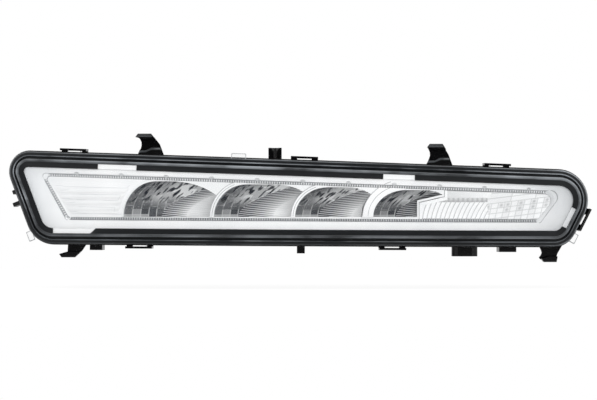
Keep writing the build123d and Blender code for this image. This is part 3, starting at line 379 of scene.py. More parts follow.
def loft(bm, rows, closed_rows=False, closed_columns=True):
    """Faces between rows of points, as a grid of the new corners."""
    grid = [[bm.verts.new(p) for p in row] for row in rows]
    count = len(grid[0])
    for i in range(len(grid) if closed_rows else len(grid) - 1):
        upper, lower = grid[i], grid[(i + 1) % len(grid)]
        for k in range(count if closed_columns else count - 1):
            bm.faces.new((upper[k], upper[(k + 1) % count], lower[(k + 1) % count], lower[k]))
    return grid


def tube(bm, rows):
    """Closed bar through rows of points, with both end faces."""
    grid = loft(bm, rows)
    bm.faces.new(grid[0])
    bm.faces.new(grid[-1])
    return grid


def frame_ring(bm, section):
    """Closed ring round the lamp with a section of (inset, depth) corners."""
    rings = [[placed(p, depth) for p, side in frame_path(inset)] for inset, depth in section]
    return loft(bm, rings, closed_rows=True)


def lay_line(bm, stations, front, back):
    """Fine raised line on the bezel, through stations of a probed spot and both edges in front view."""
    rows = []
    for probe, left, right in stations:
        start = Vector((probe.x, PROBE_DEPTH, probe.y))
        hit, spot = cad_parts["bezel"].ray_cast(start, Vector((0, 1, 0)))[:2]
        if hit:
            corners = boxed(left, right, front, back)
            rows.append([(edge.x, spot.y + lift * MM, edge.y) for edge, lift in corners])
    if len(rows) < 2:
        raise RuntimeError("no bezel under a line")
    tube(bm, rows)


def finish_mesh(name, mesh, material, smooth=40.0):
    """Links a mesh as a piece that rides on the lamp, smooth below an angle in degrees."""
    mesh.name = name
    mesh.materials.clear()
    mesh.materials.append(material)
    mesh.shade_smooth()
    mesh.set_sharp_from_angle(angle=math.radians(smooth))
    obj = bpy.data.objects.new(name, mesh)
    bpy.context.scene.collection.objects.link(obj)
    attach(obj, BODY)
    return obj


def add_piece(name, bm, material, smooth=40.0):
    """A finished piece at the origin from a bmesh."""
    bmesh.ops.remove_doubles(bm, verts=bm.verts, dist=1e-6)
    bmesh.ops.recalc_face_normals(bm, faces=bm.faces)
    mesh = bpy.data.meshes.new(name)
    bm.to_mesh(mesh)
    bm.free()
    return finish_mesh(name, mesh, material, smooth)


def toned_sheet(name, rows, tones, material, thickness):
    """Thin sheet through rows of points, facing the front, with how light each point is."""
    bm = bmesh.new()
    tone = bm.verts.layers.float.new("tone")
    grid = loft(bm, rows, closed_columns=False)
    for vert, value in zip((vert for line in grid for vert in line), tones):
        vert[tone] = max(0.0, value) ** TONE_POWER
    piece = add_piece(name, bm, material, 50.0)
    if sum(p.normal.y for p in piece.data.polygons) > 0:
        piece.data.flip_normals()
    shell = piece.modifiers.new("Skin", "SOLIDIFY")
    shell.thickness = thickness
    shell.offset = -1.0
    return piece


class Nodes:
    """Short way to fill a node tree."""

    def __init__(self, tree):
        self.tree = tree
        tree.nodes.clear()

    def node(self, kind, values=None, **options):
        """Outputs of a new node, after its options and its inputs, each a plain value or a socket to link."""
        made = self.tree.nodes.new(kind)
        for key, option in options.items():
            setattr(made, key, option)
        for key, value in (values or {}).items():
            if isinstance(value, bpy.types.NodeSocket):
                self.tree.links.new(value, made.inputs[key])
            else:
                made.inputs[key].default_value = value
        return made.outputs

    def maths(self, operation, *values):
        """Result of one operation on numbers."""
        return self.node("ShaderNodeMath", dict(enumerate(values)), operation=operation)["Value"]


class Shader(Nodes):
    """Short way to build one node material."""

    def __init__(self, name):
        self.material = bpy.data.materials.new(name)
        self.material.use_nodes = True
        super().__init__(self.material.node_tree)
        self.coords = self.node("ShaderNodeTexCoord")["Object"]

    def noise(self, scale, detail=3.0, stretch=(1, 1, 1)):
        """Clouds of a scale."""
        mapped = self.node("ShaderNodeMapping", {"Vector": self.coords, "Scale": stretch})["Vector"]
        values = {"Vector": mapped, "Scale": scale, "Detail": detail, "Roughness": 0.55}
        return self.node("ShaderNodeTexNoise", values)["Fac"]

    def axis(self, name, source=None):
        """One axis of the object's coordinates, or of another vector."""
        return self.node("ShaderNodeSeparateXYZ", {"Vector": source or self.coords})[name]

    def mark(self, name):
        """A number stored on the mesh."""
        return self.node("ShaderNodeAttribute", attribute_name=name)["Fac"]

    def open_share(self, reach, samples):
        """How open the surface is within a reach, low in creases."""
        shut = self.node("ShaderNodeAmbientOcclusion", {"Distance": reach}, samples=samples, only_local=True)
        return shut["AO"]

    def span(self, source, low, high, start=0.3, end=0.7):
        """Numbers from low to high while the source goes from start to end."""
        values = {"Value": source, "From Min": start, "From Max": end, "To Min": low, "To Max": high}
        return self.node("ShaderNodeMapRange", values)["Result"]

    def tint(self, source, low, high, start=0.3, end=0.7):
        """Colours from low to high while the source goes from start to end."""
        made = self.tree.nodes.new("ShaderNodeValToRGB")
        self.tree.links.new(source, made.inputs["Fac"])
        first, last = made.color_ramp.elements
        first.position, last.position = start, end
        first.color, last.color = (*low, 1), (*high, 1)
        return made.outputs["Color"]

    def waver(self, clouds, value, spread):
        """A colour that wavers with the clouds."""
        return self.tint(clouds, scaled(value, 1 - spread), scaled(value, 1 + spread))

    def mix(self, share, first, second, kind="MIX"):
        """Two colours mixed by a share."""
        values = {"Factor": share, "A": first, "B": second}
        return self.node("ShaderNodeMix", values, data_type="RGBA", blend_type=kind)["Result"]

    def mix_shaders(self, share, first, second):
        """Two shaders mixed by a share."""
        return self.node("ShaderNodeMixShader", {0: share, 1: first, 2: second})["Shader"]

    def grain(self, scale, strength):
        """Normals of a fine grain."""
        values = {"Height": self.noise(scale, detail=2.0), "Strength": strength, "Distance": GRAIN_DEPTH}
        return self.node("ShaderNodeBump", values)["Normal"]

    def finish(self, shader):
        """The material with its shader."""
        self.node("ShaderNodeOutputMaterial", {"Surface": shader})
        return self.material

    def principled(self, values):
        """The material with one principled shader."""
        return self.finish(self.node("ShaderNodeBsdfPrincipled", values)["BSDF"])


def scaled(value, factor):
    """A colour made darker or lighter."""
    return tuple(min(1.0, channel * factor) for channel in value)


def solid_material(
    name, value, rough, spread=0.06, grain=0.0, scale=900.0, cloud=35.0, crease_shade=0.0, ends=(), **fixed
):
    """Opaque material with clouds in colour and gloss and, where asked, grain, painted shade in creases and
    painted shade dimming its ends.
    """
    s = Shader(name)
    clouds = s.noise(cloud)
    paint = s.waver(clouds, value, spread)
    # painted shade: darker where ambient occlusion finds the surface shut in
    if crease_shade > 0:
        shadow = s.tint(s.open_share(1.2 * MM, 6), (0.05, 0.055, 0.06), WHITE, 0.25, 0.85)
        paint = s.mix(crease_shade, paint, shadow, "MULTIPLY")
    # painted shade: the colour dims along X towards each given end
    for start, end, share in ends:
        along = s.span(s.axis("X"), 0.0, 1.0, start * MM, end * MM)
        paint = s.mix(along, paint, (share * 0.985, share, share * 1.015, 1), "MULTIPLY")
    values = {"Base Color": paint, "Roughness": s.span(clouds, rough * 0.88, min(1.0, rough * 1.12))}
    values |= {key.replace("_", " "): number for key, number in fixed.items()}
    if grain > 0:
        values["Normal"] = s.grain(scale, grain)
    return s.principled(values)


def highlight_material(name, deep, highlight, break_up=0.15):
    """Black rubber or plastic with painted highlights: paler where the attribute "crest" marks that it would
    catch light.
    """
    s = Shader(name)
    crest = s.mark("crest")
    clouds = s.noise(55.0)
    share = s.maths("MULTIPLY", crest, s.span(s.noise(24.0, stretch=(1, 1, 3)), break_up, 1.0, 0.35, 0.6))
    return s.principled(
        {
            "Base Color": s.mix(share, s.waver(clouds, deep, 0.15), s.waver(clouds, highlight, 0.1)),
            "Roughness": s.span(crest, 0.33, 0.2, 0.0, 1.0),
            "Specular IOR Level": 0.5,
            "Normal": s.grain(420.0, 0.08),
        }
    )


def dress(node, material, bevel=0.0):
    """Gives a CAD node its material and, where asked, softly broken edges."""
    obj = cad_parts[node]
    obj.data.materials.clear()
    obj.data.materials.append(material)
    weld = obj.modifiers.new("Weld", "WELD")
    weld.merge_threshold = 2e-6
    if bevel > 0:
        edge = obj.modifiers.new("Broken edges", "BEVEL")
        edge.width = bevel
        edge.segments = 2
        edge.limit_method = "ANGLE"
        edge.angle_limit = EDGE_ANGLE
        edge.use_clamp_overlap = True


def stud_tree(name):
    """Tree that sets rounded studs along a line at a pitch, turned with it and tilted into the slope."""
    group = bpy.data.node_groups.new(name, "GeometryNodeTree")
    kinds = {"Pitch": "Float", "Size": "Vector", "Tilt": "Float", "Material": "Material"}
    for label, kind in {"Geometry": "Geometry", **kinds}.items():
        group.interface.new_socket(label, in_out="INPUT", socket_type="NodeSocket" + kind)
    group.interface.new_socket("Geometry", in_out="OUTPUT", socket_type="NodeSocketGeometry")
    tree = Nodes(group)
    given = tree.node("NodeGroupInput")
    curve = tree.node("GeometryNodeMeshToCurve", {"Mesh": given["Geometry"]})["Curve"]
    values = {"Curve": curve, "Length": given["Pitch"]}
    points = tree.node("GeometryNodeCurveToPoints", values, mode="LENGTH")
    values = {"Vector": points["Tangent"]}
    along = tree.node("FunctionNodeAlignRotationToVector", values, axis="X", pivot_axis="Y")["Rotation"]
    euler = tree.node("ShaderNodeCombineXYZ", {"X": given["Tilt"]})["Vector"]
    tilt = tree.node("FunctionNodeEulerToRotation", {"Euler": euler})["Rotation"]
    values = {"Rotation": along, "Rotate By": tilt}
    turn = tree.node("FunctionNodeRotateRotation", values, rotation_space="LOCAL")["Rotation"]
    stud = tree.node("GeometryNodeMeshUVSphere", {"Segments": 10, "Rings": 6, "Radius": 0.5})["Mesh"]
    values = {"Points": points["Points"], "Instance": stud, "Rotation": turn, "Scale": given["Size"]}
    studs = tree.node("GeometryNodeInstanceOnPoints", values)["Instances"]
    real = tree.node("GeometryNodeRealizeInstances", {"Geometry": studs})["Geometry"]
    values = {"Geometry": real, "Material": given["Material"]}
    tree.node("NodeGroupOutput", {"Geometry": tree.node("GeometryNodeSetMaterial", values)["Geometry"]})
    return group


def studded_line(name, points, values):
    """Studs grown along a line through points, kept as a plain piece."""
    line = bpy.data.meshes.new(name + "_line")
    line.from_pydata(points, [(i, i + 1) for i in range(len(points) - 1)], [])
    carrier = bpy.data.objects.new(name + "_carrier", line)
    bpy.context.scene.collection.objects.link(carrier)
    growth = carrier.modifiers.new("Growth", "NODES")
    growth.node_group = stud_tree("Studs of " + name)
    for item in growth.node_group.interface.items_tree:
        if item.in_out == "INPUT" and item.name in values:
            growth[item.identifier] = values[item.name]
    graph = bpy.context.evaluated_depsgraph_get()
    mesh = bpy.data.meshes.new_from_object(carrier.evaluated_get(graph), depsgraph=graph)
    carrier.modifiers.clear()
    bpy.data.objects.remove(carrier)
    if len(mesh.polygons) == 0:
        raise RuntimeError(name + " came out empty")
    return finish_mesh(name, mesh, values["Material"])


def seal_end():
    """Inset of the inner ridge's inner side."""
    s = settings("seal")
    return s.outer_width + s.groove_width + s.inner_width


# gaps in the seal's lip by side, each a middle and a half width along the side, in millimetres
LIP_GAPS = {
    UPPER: ((-124.5, 13.0), (69.7, 10.6)),
    RIGHT: ((-14.2, 8.4),),
    LOWER: ((-156.5, 12.6),),
}
# how bright the painted highlight on each rounded corner of the seal's section is, by its number
OUTER_CORNER = 1
HIGHLIGHT_CORNERS = {OUTER_CORNER: 0.35, 2: 1.0, 5: 0.8, 6: 0.45}


class DRL_OT_seal(bpy.types.Operator):
    """Rubber frame with soft ridges, groove and broken lip."""

    bl_idname = "drl.seal"
    bl_label = "Rubber seal"

    def ridges(self, bm, s):
        """Both ridges and their groove, with painted highlights along the crests, weaker in the lower half.
        """
        r, inner_round, groove_round = s.soft_edge, s.soft_edge * 0.62, 0.4 * MM
        groove_end = s.outer_width + s.groove_width
        corners = (
            (0, -s.seat),
            (0, -s.outer_rise),
            (s.outer_width, -s.outer_rise),
            (s.outer_width, -s.groove_floor),
            (groove_end, -s.groove_floor),
            (groove_end, -s.inner_rise),
            (seal_end(), -s.inner_rise),
            (seal_end(), -s.seat),
        )
        section = rounded_section(corners, (0, r, r, groove_round, groove_round, inner_round, inner_round, 0))
        crest = bm.verts.layers.float.new("crest")
        for point, line in zip(section, frame_ring(bm, section)):
            near = [n for n in HIGHLIGHT_CORNERS if (point - Vector(corners[n])).length < 0.75 * r]
            highlight = max((HIGHLIGHT_CORNERS[n] for n in near), default=0.0)
            for vert in line:
                # painted highlight: the outer corner grows paler towards the right end, and in the lower half
                # the highlights are weaker
                far = 0.9 * ramp(vert.co.x, 165 * MM, 185 * MM) if OUTER_CORNER in near else 0.0
                vert[crest] = max(highlight if vert.co.z > 0 else 0.55 * highlight, far)

    def lip_open(self, point, side):
        """True where the lip is left out."""
        place = (point.y if side == RIGHT else point.x) / MM
        return any(abs(place - middle) < half for middle, half in LIP_GAPS.get(side, ()))

    def lip(self, bm, s):
        """Lip over the cover, in lengths between its gaps, with tapered ends below."""
        root, edge = seal_end() - s.inner_width * 0.6, seal_end() + s.lip_width
        edge_drop, edge_round, taper = 0.25 * MM, 0.55 * MM, 4
        back, front = -s.lip_back, -s.lip_front
        corners = ((root, back), (root, front), (edge, front + edge_drop), (edge, back))
        section = rounded_section(corners, (0, 0, edge_round, 0))
        paths = [frame_path(inset) for inset, depth in section]
        guide = frame_path(seal_end())
        keep = [not self.lip_open(p, side) for p, side in guide]
        count = len(keep)
        first = next(i for i in range(count) if keep[i] and not keep[i - 1])
        order = [(first + step) % count for step in range(count)]
        for kept, run in groupby(order, keep.__getitem__):
            run = list(run)
            if not kept or len(run) < 2:
                continue
            rows = []
            for n, j in enumerate(run):
                to_end = min(n, len(run) - 1 - n)
                share = min(1.0, 0.3 + 0.7 * to_end / taper) if guide[j][1] == LOWER else 1.0
                start = paths[0][j][0]
                spots = [start.lerp(path[j][0], share) for path in paths]
                rows.append([placed(p, depth) for p, (inset, depth) in zip(spots, section)])
            tube(bm, rows)

    def execute(self, context):
        s = settings("seal")
        bm = bmesh.new()
        self.ridges(bm, s)
        self.lip(bm, s)
        piece = add_piece("seal_frame", bm, highlight_material("Seal_rubber", s.rubber, s.crest), 32.0)
        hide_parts("perimeter_gasket")
        return {"FINISHED"}


# side, place along it and width of each clear lug, and the lugs' reach out and in, in millimetres
LUGS = ((UPPER, -41.0, 10.3), (LEFT, -24.5, 7.0), (RIGHT, -26.0, 7.0))
LUG_REACH, LUG_ROOT = 3.6, -1.0


class DRL_OT_cover(bpy.types.Operator):
    """Clear cover over the optics."""

    bl_idname = "drl.cover"
    bl_label = "Clear cover"

    def clear_plastic(self):
        """Clear moulding: what is behind shows, dimmed as painted shade where the surface turns away from the
        front, with a mirror sheen by angle and a faint body.
        """
        value, sheen_rough = (0.985, 0.988, 0.99), 0.03
        body_share, least_sheen, most_sheen, sheen_power = 0.004, 0.01, 0.9, 5.0
        s = Shader("Cover_clear")
        clouds = s.noise(28.0)
        level = s.maths("ABSOLUTE", s.axis("Y", s.node("ShaderNodeNewGeometry")["Normal"]))
        # painted shade: less shows through where the normal turns away from the front, standing in for dark
        # refraction at edges
        edge = s.tint(level, (0.35, 0.36, 0.37), WHITE, 0.6, 0.93)
        see_through = s.mix(1.0, s.waver(clouds, value, 0.015), edge, "MULTIPLY")
        through = s.node("ShaderNodeBsdfTransparent", {"Color": see_through})["BSDF"]
        tone = s.tint(clouds, scaled(value, 0.9), value)
        matte = s.node("ShaderNodeBsdfDiffuse", {"Color": tone})["BSDF"]
        gloss = s.span(clouds, sheen_rough * 0.7, sheen_rough * 1.3)
        values = {"Metallic": 1.0, "Base Color": (0.95, 0.96, 0.97, 1), "Roughness": gloss}
        sheen = s.node("ShaderNodeBsdfPrincipled", values)["BSDF"]
        turned = s.node("ShaderNodeLayerWeight", {"Blend": 0.5})["Facing"]
        share = s.span(s.maths("POWER", turned, sheen_power), least_sheen, most_sheen, 0.0, 1.0)
        return s.finish(s.mix_shaders(share, s.mix_shaders(body_share, through, matte), sheen))

    def lug_edge(self, bm, side, station, width):
        """Thin dark edge round a clear lug, a closed rim on the lug's front, painted shade standing in for
        the dark refraction at the lug's edge.
        """
        start, along = side_line(side, 0.0)
        out = Vector((along.y, -along.x))
        axis = 0 if side == UPPER else 1
        foot = start + along * ((station * MM - start[axis]) / along[axis])
        rims = []
        for inset, depth in boxed(0.0, 0.5, -0.15, 0.2):
            half = width / 2 - inset
            spots = boxed(-half, half, LUG_ROOT + inset, LUG_REACH - inset)
            corners = [foot + (along * a + out * b) * MM for a, b in spots]
            path = rounded_path(corners, [0.8 * MM] * 4, [4] * 4, 4)
            rims.append([placed(p, depth * MM) for p, mark in path])
        loft(bm, rims, closed_rows=True)

    def execute(self, context):
        dress("outer_lens", self.clear_plastic(), 0.5 * MM)
        # painted light: a pale ring just behind the cover's front, standing in for light caught in the clear
        # wall where the seal's lip leaves gaps; painted shade dims its right end
        start, width = seal_end() + 0.2 * MM, 3.2 * MM
        bm = bmesh.new()
        frame_ring(bm, boxed(start, start + width, -7.7 * MM, -7.2 * MM))
        painted_end_shade = ((150.0, 186.0, 0.76),)
        bright = solid_material("Cover_wall_painted_light", (0.9, 0.905, 0.91), 0.3, spread=0.015, cloud=25.0, ends=painted_end_shade)
        add_piece("cover_wall_painted_light", bm, bright, 30.0)
        bm = bmesh.new()
        for side, station, width in LUGS:
            self.lug_edge(bm, side, station, width)
        # painted shade: grey rims for the dark edges of the clear lugs
        grey = solid_material("Lug_edge", (0.42, 0.43, 0.44), 0.2, spread=0.2, cloud=160.0)
        add_piece("lug_edges", bm, grey, 30.0)
        return {"FINISHED"}


# places across in millimetres: the upper hooks with the shift of their lips, and the lower right hook
LEFT_HOOK, RIGHT_HOOK, LOW_HOOK = -103.3, 98.6, 179.2
UPPER_HOOKS = ((LEFT_HOOK, -3.8), (RIGHT_HOOK, -2.2))
# side, hook, place inside the web, and the web's outer line as place across and height over the edge
HOOK_WEBS = (
    (UPPER, LEFT_HOOK, -107.0, (
        (-112.7, 0.0), (-110.4, 4.0), (-109.5, 7.0), (-109.5, 9.5), (-110.3, 11.4), (-111.6, 12.9),
    )),
    (UPPER, RIGHT_HOOK, 96.5, (
        (89.0, 0.0), (91.2, 4.0), (92.3, 7.2), (92.2, 9.6), (91.4, 11.6), (90.6, 12.9),
    )),
    (LOWER, LOW_HOOK, 177.5, (
        (169.8, -1.5), (170.1, 1.0), (171.2, 3.2), (171.6, 5.0), (171.0, 6.6), (169.7, 8.3), (170.6, 9.6),
    )),
)
# painted highlights on the hooks: how much of the sheen colour each row takes where it would catch the
# overhead light
FOOT_HIGHLIGHTS = (0.6, 1.0, 1.0, 0.8, 0.3)  # how light a foot's fillet is, from its shelf up
FOLD_HIGHLIGHTS = (0.2, 0.5, 0.6, 0.45, 0.3, 0.25, 0.2)  # how light a folded lip is, from below


class DRL_OT_housing(bpy.types.Operator):
    """Black housing with hooks, loops and connector, and its sealant."""

    bl_idname = "drl.housing"
    bl_label = "Rear housing"

    def hook_foot(self, bm, middle):
        """Stepped foot on the front of an upper hook, with a hollow fillet up to its web and a painted
        highlight along the fillet.
        """
        h = settings("housing")
        web, step = bow(middle) + h.web_depth, h.foot_step
        edge = line_z(side_line(UPPER, 0.0), middle)
        columns, arc, root, sunk = 24, 6, -1.0 * MM, -0.2 * MM
        rows = []
        for k in range(columns + 1):
            share = k / columns
            wave = ramp(share, 0.25, 0.6)
            rest = h.hook_reach * (0.15 + 0.12 * wave * wave * (3 - 2 * wave))
            line = [(root, sunk), (root, step), (rest, step)]
            for n in range(1, arc + 1):
                turn = math.pi / 2 * (1 - n / arc)
                line.append((rest + step - step * math.sin(turn), step - step * math.cos(turn)))
            line.append((rest + step, sunk))
            row = []
            for high, out in line:
                narrow = 0.5 * MM + max(0.0, high) * 0.42
                x = middle - h.hook_base / 2 + narrow + (h.hook_base - 2 * narrow) * share
                row.append((x, web - out, edge + high))
            rows.append(row)
        crest = bm.verts.layers.float["crest"]
        for row in tube(bm, rows):
            for vert, light in zip(row[3:], FOOT_HIGHLIGHTS):
                vert[crest] = light

    def hook_lip(self, bm, middle, shift):
        """Face of an upper hook's folded lip, with a painted highlight that is palest in its lower part."""
        h = settings("housing")
        front = bow(middle) + h.lip_depth
        bottom = line_z(side_line(UPPER, 0.0), middle) + h.hook_reach - 2.5 * MM
        start, end = middle + shift - h.lip_half, middle + shift + h.lip_half
        upper = (start + 0.1 * MM, end - 0.1 * MM)
        lower = (start - 1.5 * MM, end + 1.3 * MM)
        rows = []
        for k in range(len(FOLD_HIGHLIGHTS)):
            share = k / (len(FOLD_HIGHLIGHTS) - 1)
            left, right = (low + (high - low) * share for low, high in zip(lower, upper))
            swell = 0.05 * MM + 0.25 * MM * math.sin(math.pi * share)
            corners = boxed(left, right, front - swell, front + 0.4 * MM)
            rows.append([(x, y, bottom + 2.2 * MM * share) for x, y in corners])
        crest = bm.verts.layers.float["crest"]
        for row, light in zip(tube(bm, rows), FOLD_HIGHLIGHTS):
            for vert in row:
                vert[crest] = light

    def hook_web(self, bm, side, middle, inner, line):
        """Broad side of a hook's web, from its outer line to a place inside the web."""
        out = MM if side == UPPER else -MM
        edge = line_z(side_line(side, 0.0), middle)
        front = bow(middle) + settings("housing").web_depth - 0.15 * MM
        spots = [*line, (inner, line[-1][1]), (inner, line[0][1])]
        depths = (front, front + 2.1 * MM)
        tube(bm, [[(x * MM, depth, edge + out * high) for x, high in spots] for depth in depths])

    def execute(self, context):
        h = settings("housing")
        black = solid_material(
            "Housing_black", h.plastic, 0.17, spread=0.12, grain=0.06, scale=1500.0, Specular_IOR_Level=0.5
        )
        dress("rear_housing", black, 0.3 * MM)
        bm = bmesh.new()
        bm.verts.layers.float.new("crest")
        for middle, shift in UPPER_HOOKS:
            self.hook_foot(bm, middle * MM)
            self.hook_lip(bm, middle * MM, shift * MM)
        sheen = highlight_material("Hook_black", h.plastic, h.sheen, 0.7)
        add_piece("hook_feet", bm, sheen)
        bm = bmesh.new()
        for side, middle, inner, line in HOOK_WEBS:
            self.hook_web(bm, side, middle * MM, inner, line)
        add_piece("hook_webs", bm, black)
        sealant = solid_material("Sealant_grey", (0.12, 0.12, 0.12), 0.6, spread=0.1, grain=0.3)
        dress("lens_seal_bead", sealant)
        cap = solid_material("Vent_black", (0.01, 0.01, 0.011), 0.42, spread=0.1, grain=0.3, scale=1800.0)
        dress("vent_cap", cap, 0.2 * MM)
        film = solid_material("Vent_film", (0.8, 0.8, 0.79), 0.8, spread=0.06, grain=0.3, scale=3500.0)
        dress("vent_membrane", film)
        return {"FINISHED"}


# fine steps of the ledged field at the left, each a line of corners in front view, in millimetres
FIELD_STEPS = (
    ((-162.8, 9.4), (-118.5, 8.2), (-116.4, 10.3)),
    ((-156.6, 4.0), (-123.0, 3.5)),
    ((-154.1, 0.4), (-125.0, -0.5), (-122.6, 3.3)),
    ((-152.1, -4.6), (-126.6, -5.2), (-127.0, -8.0)),
    ((-153.1, -8.9), (-122.3, -9.9)),
    ((-168.1, 10.1), (-165.6, 10.3), (-163.4, 9.8)),
    ((-165.0, 6.9), (-161.5, 7.0), (-158.9, 7.6)),
    ((-164.1, 1.2), (-160.0, 1.1), (-156.5, 0.4)),
    ((-161.2, -2.0), (-157.5, -1.9), (-154.5, -1.2)),
    ((-158.9, -7.8), (-153.3, -8.0)),
)
LINE_FRONT, LINE_BACK = -0.12, 0.3  # how far a fine line stands off the face and sinks in, in millimetres


class DRL_OT_bezel(bpy.types.Operator):
    """Satin silver bezel with its beaded window edge."""

    bl_idname = "drl.bezel"
    bl_label = "Bezel"

    def field_lines(self, bm):
        """Fine steps of the ledged field, laid on the bezel's face as grey lines of painted shade."""
        bpy.context.view_layer.update()
        parts, half = 12, 0.16 * MM
        for corners in FIELD_STEPS:
            corners = [Vector(corner) * MM for corner in corners]
            path = [a.lerp(b, k / parts) for a, b in zip(corners, corners[1:]) for k in range(parts)]
            path.append(corners[-1])
            stations = []
            for before, p, after in zip([path[0], *path], path, [*path[1:], path[-1]]):
                along = (after - before).normalized()
                out = Vector((-along.y, along.x)) * half
                stations.append((p, p + out, p - out))
            lay_line(bm, stations, LINE_FRONT, LINE_BACK)

    def on_slope(self, start, end, front, back):
        """Section of a strip on the window's slope, between two insets."""
        b = settings("bezel")
        corners = boxed(start, end, front, back)
        return [(inset, b.front + b.bevel_depth * inset / b.bevel + lift * MM) for inset, lift in corners]

    def strip(self, bm, section, part):
        """Strip along the part of the window's edge that a rule takes out of its path."""
        rims = [[placed(p, depth) for p, side in part(window_path(inset))] for inset, depth in section]
        tube(bm, list(zip(*rims)))

    def lower_edge(self, path):
        """Even steps along the straight lower edge of the window."""
        edge, parts = [p for p, side in path if side == LOWER], 160
        return [(edge[0].lerp(edge[-1], k / parts), LOWER) for k in range(parts + 1)]

    def execute(self, context):
        b = settings("bezel")
        # painted shade in the bezel's creases, and painted shade dimming both of its ends
        satin = solid_material(
            "Satin_silver", b.silver, 0.38, spread=0.012, grain=0.04, scale=2200.0, cloud=12.0, crease_shade=0.25,
            ends=((150.0, 186.0, 0.74), (-158.0, -186.0, 0.88)),
        )
        dress("bezel", satin, 0.18 * MM)
        # painted shade: a darker copy of the satin silver, for the bumps, the beads on the lower slope and
        # the field's step lines
        pale = solid_material("Bump_silver", b.bump_tone, 0.3, spread=0.04, cloud=90.0, Metallic=0.3)
        beads = solid_material("Bead_silver", b.silver, 0.3, spread=0.03, cloud=90.0)

        # the path runs below, up the right end with its two rounded corners, and back above
        path = window_path(b.bevel / 2)
        right_end = [i for i, (p, side) in enumerate(path) if side == RIGHT]
        turn = WINDOW_ARC + 1
        before, after = right_end[0] - turn, right_end[-1] + 1 + turn
        rows = (("window_knurl", path[after:], beads, 2.4), ("sill_knurl", path[:before], pale, 2.2))
        for name, line, paint, long in rows:
            values = {
                "Pitch": b.knurl_pitch,
                "Size": (b.knurl_pitch * 0.57, 1.6 * MM, long * MM),
                "Tilt": -math.atan2(b.bevel_depth, b.bevel),
                "Material": paint,
            }
            middle = [placed(p, b.front + b.bevel_depth / 2) for p, side in line]
            studded_line(name, middle, values)

        # painted shade: a grey strip on the upper and left slopes, between the beads
        bm = bmesh.new()
        self.strip(bm, self.on_slope(0.0, b.bevel, -0.3, 0.3), lambda path: path[after:] + path[:turn])
        grey = solid_material("Band_silver", b.band_tone, 0.32, spread=0.15, cloud=70.0, Metallic=0.2)
        add_piece("window_band", bm, grey)

        # painted shade: grey lines along both edges of the window's slope at its right end
        bm = bmesh.new()
        width = 0.35 * MM
        for inset, depth in ((0.0, b.front), (b.bevel, b.front + b.bevel_depth)):
            section = boxed(inset, inset - width, depth + LINE_FRONT * MM, depth + LINE_BACK * MM)
            self.strip(bm, section, lambda path: path[before:after])
        shade = solid_material("Knurl_silver", b.knurl_tone, 0.3, spread=0.05, cloud=90.0, Metallic=0.4)
        add_piece("window_end_lines", bm, shade)

        # painted shade: a grey strip on the window's lower slope
        bm = bmesh.new()
        section = self.on_slope(0.15 * MM, b.bevel - 0.1 * MM, LINE_FRONT, LINE_BACK)
        self.strip(bm, section, self.lower_edge)
        grey = solid_material("Sill_silver", b.sill_tone, 0.32, spread=0.12, cloud=70.0, Metallic=0.2)
        add_piece("window_sill", bm, grey)

        bm = bmesh.new()
        self.field_lines(bm)
        tone = solid_material("Field_line", b.bump_tone, 0.32, spread=0.08, cloud=90.0)
        add_piece("field_lines", bm, tone)

        upper = [
            placed(p, b.front + 0.2 * MM)
            for p, side in window_path(-0.6 * MM)
            if side == UPPER and 0 < p.x - b.first_bump < b.bump_count * b.bump_pitch
        ]
        size = (4.0 * MM, 1.2 * MM, 2.2 * MM)
        values = {"Pitch": b.bump_pitch, "Size": size, "Tilt": 0.0, "Material": pale}
        studded_line("window_bumps", upper[::-1], values)
        return {"FINISHED"}


# left edge, crown, sweep, rim and facet zone of each cup in millimetres, then how far its flutes run
CUPS = (
    (-120.8, 10.0, 40.0, 1.2, 25.0, 0.9),
    (-58.0, 20.0, 30.0, 3.0, 16.2, 1.25),
    (-2.1, 14.0, 25.0, 3.0, 16.2, 1.2),
    (51.8, 14.0, 21.0, 7.5, 16.8, 1.4),
)
CUPS_END = 101.0
OPTIC_GAP = 1.2 * MM
FACET_STAGGER = 0.37  # how far each column of facets is set up from the last
FLUTE_SLOPE = 0.1
# painted reflection tones of the blocks along a cup's foot, then just above it
FOOT_BLOCKS = (0.78, 0.82, 0.75, 0.34, 0.38)
LOW_BLOCKS = (0.47, 0.67, 0.31, 0.33, 0.43)


def cup_shapes():
    """Measures of each reflector cup, from the window's lines."""
    b, c = settings("bezel"), settings("cups")
    floor = line_z(side_line(LOWER, b.window_bottom + b.bevel), CUPS[0][0] * MM) + 0.2 * MM
    ends = [row[0] for row in CUPS[1:]] + [CUPS_END]
    shapes = []
    for row, end in zip(CUPS, ends):
        left, crown, sweep, rim, zone = (value * MM for value in row[:5])
        lobe_x = left + c.lobe
        crest = line_z(side_line(UPPER, b.window_top), lobe_x) - b.bevel - 0.9 * MM
        rim_y = max(bow(left), bow(end * MM)) - 1.05 * MM
        shapes.append(
            SimpleNamespace(
                left=left, lobe_x=lobe_x, sweep_x=lobe_x + crown, sweep=sweep, rim=rim, zone=zone,
                run=row[5] * c.flute_fade, height=crest - floor, floor=floor, vertex=rim_y + c.depth,
            )
        )
    return shapes


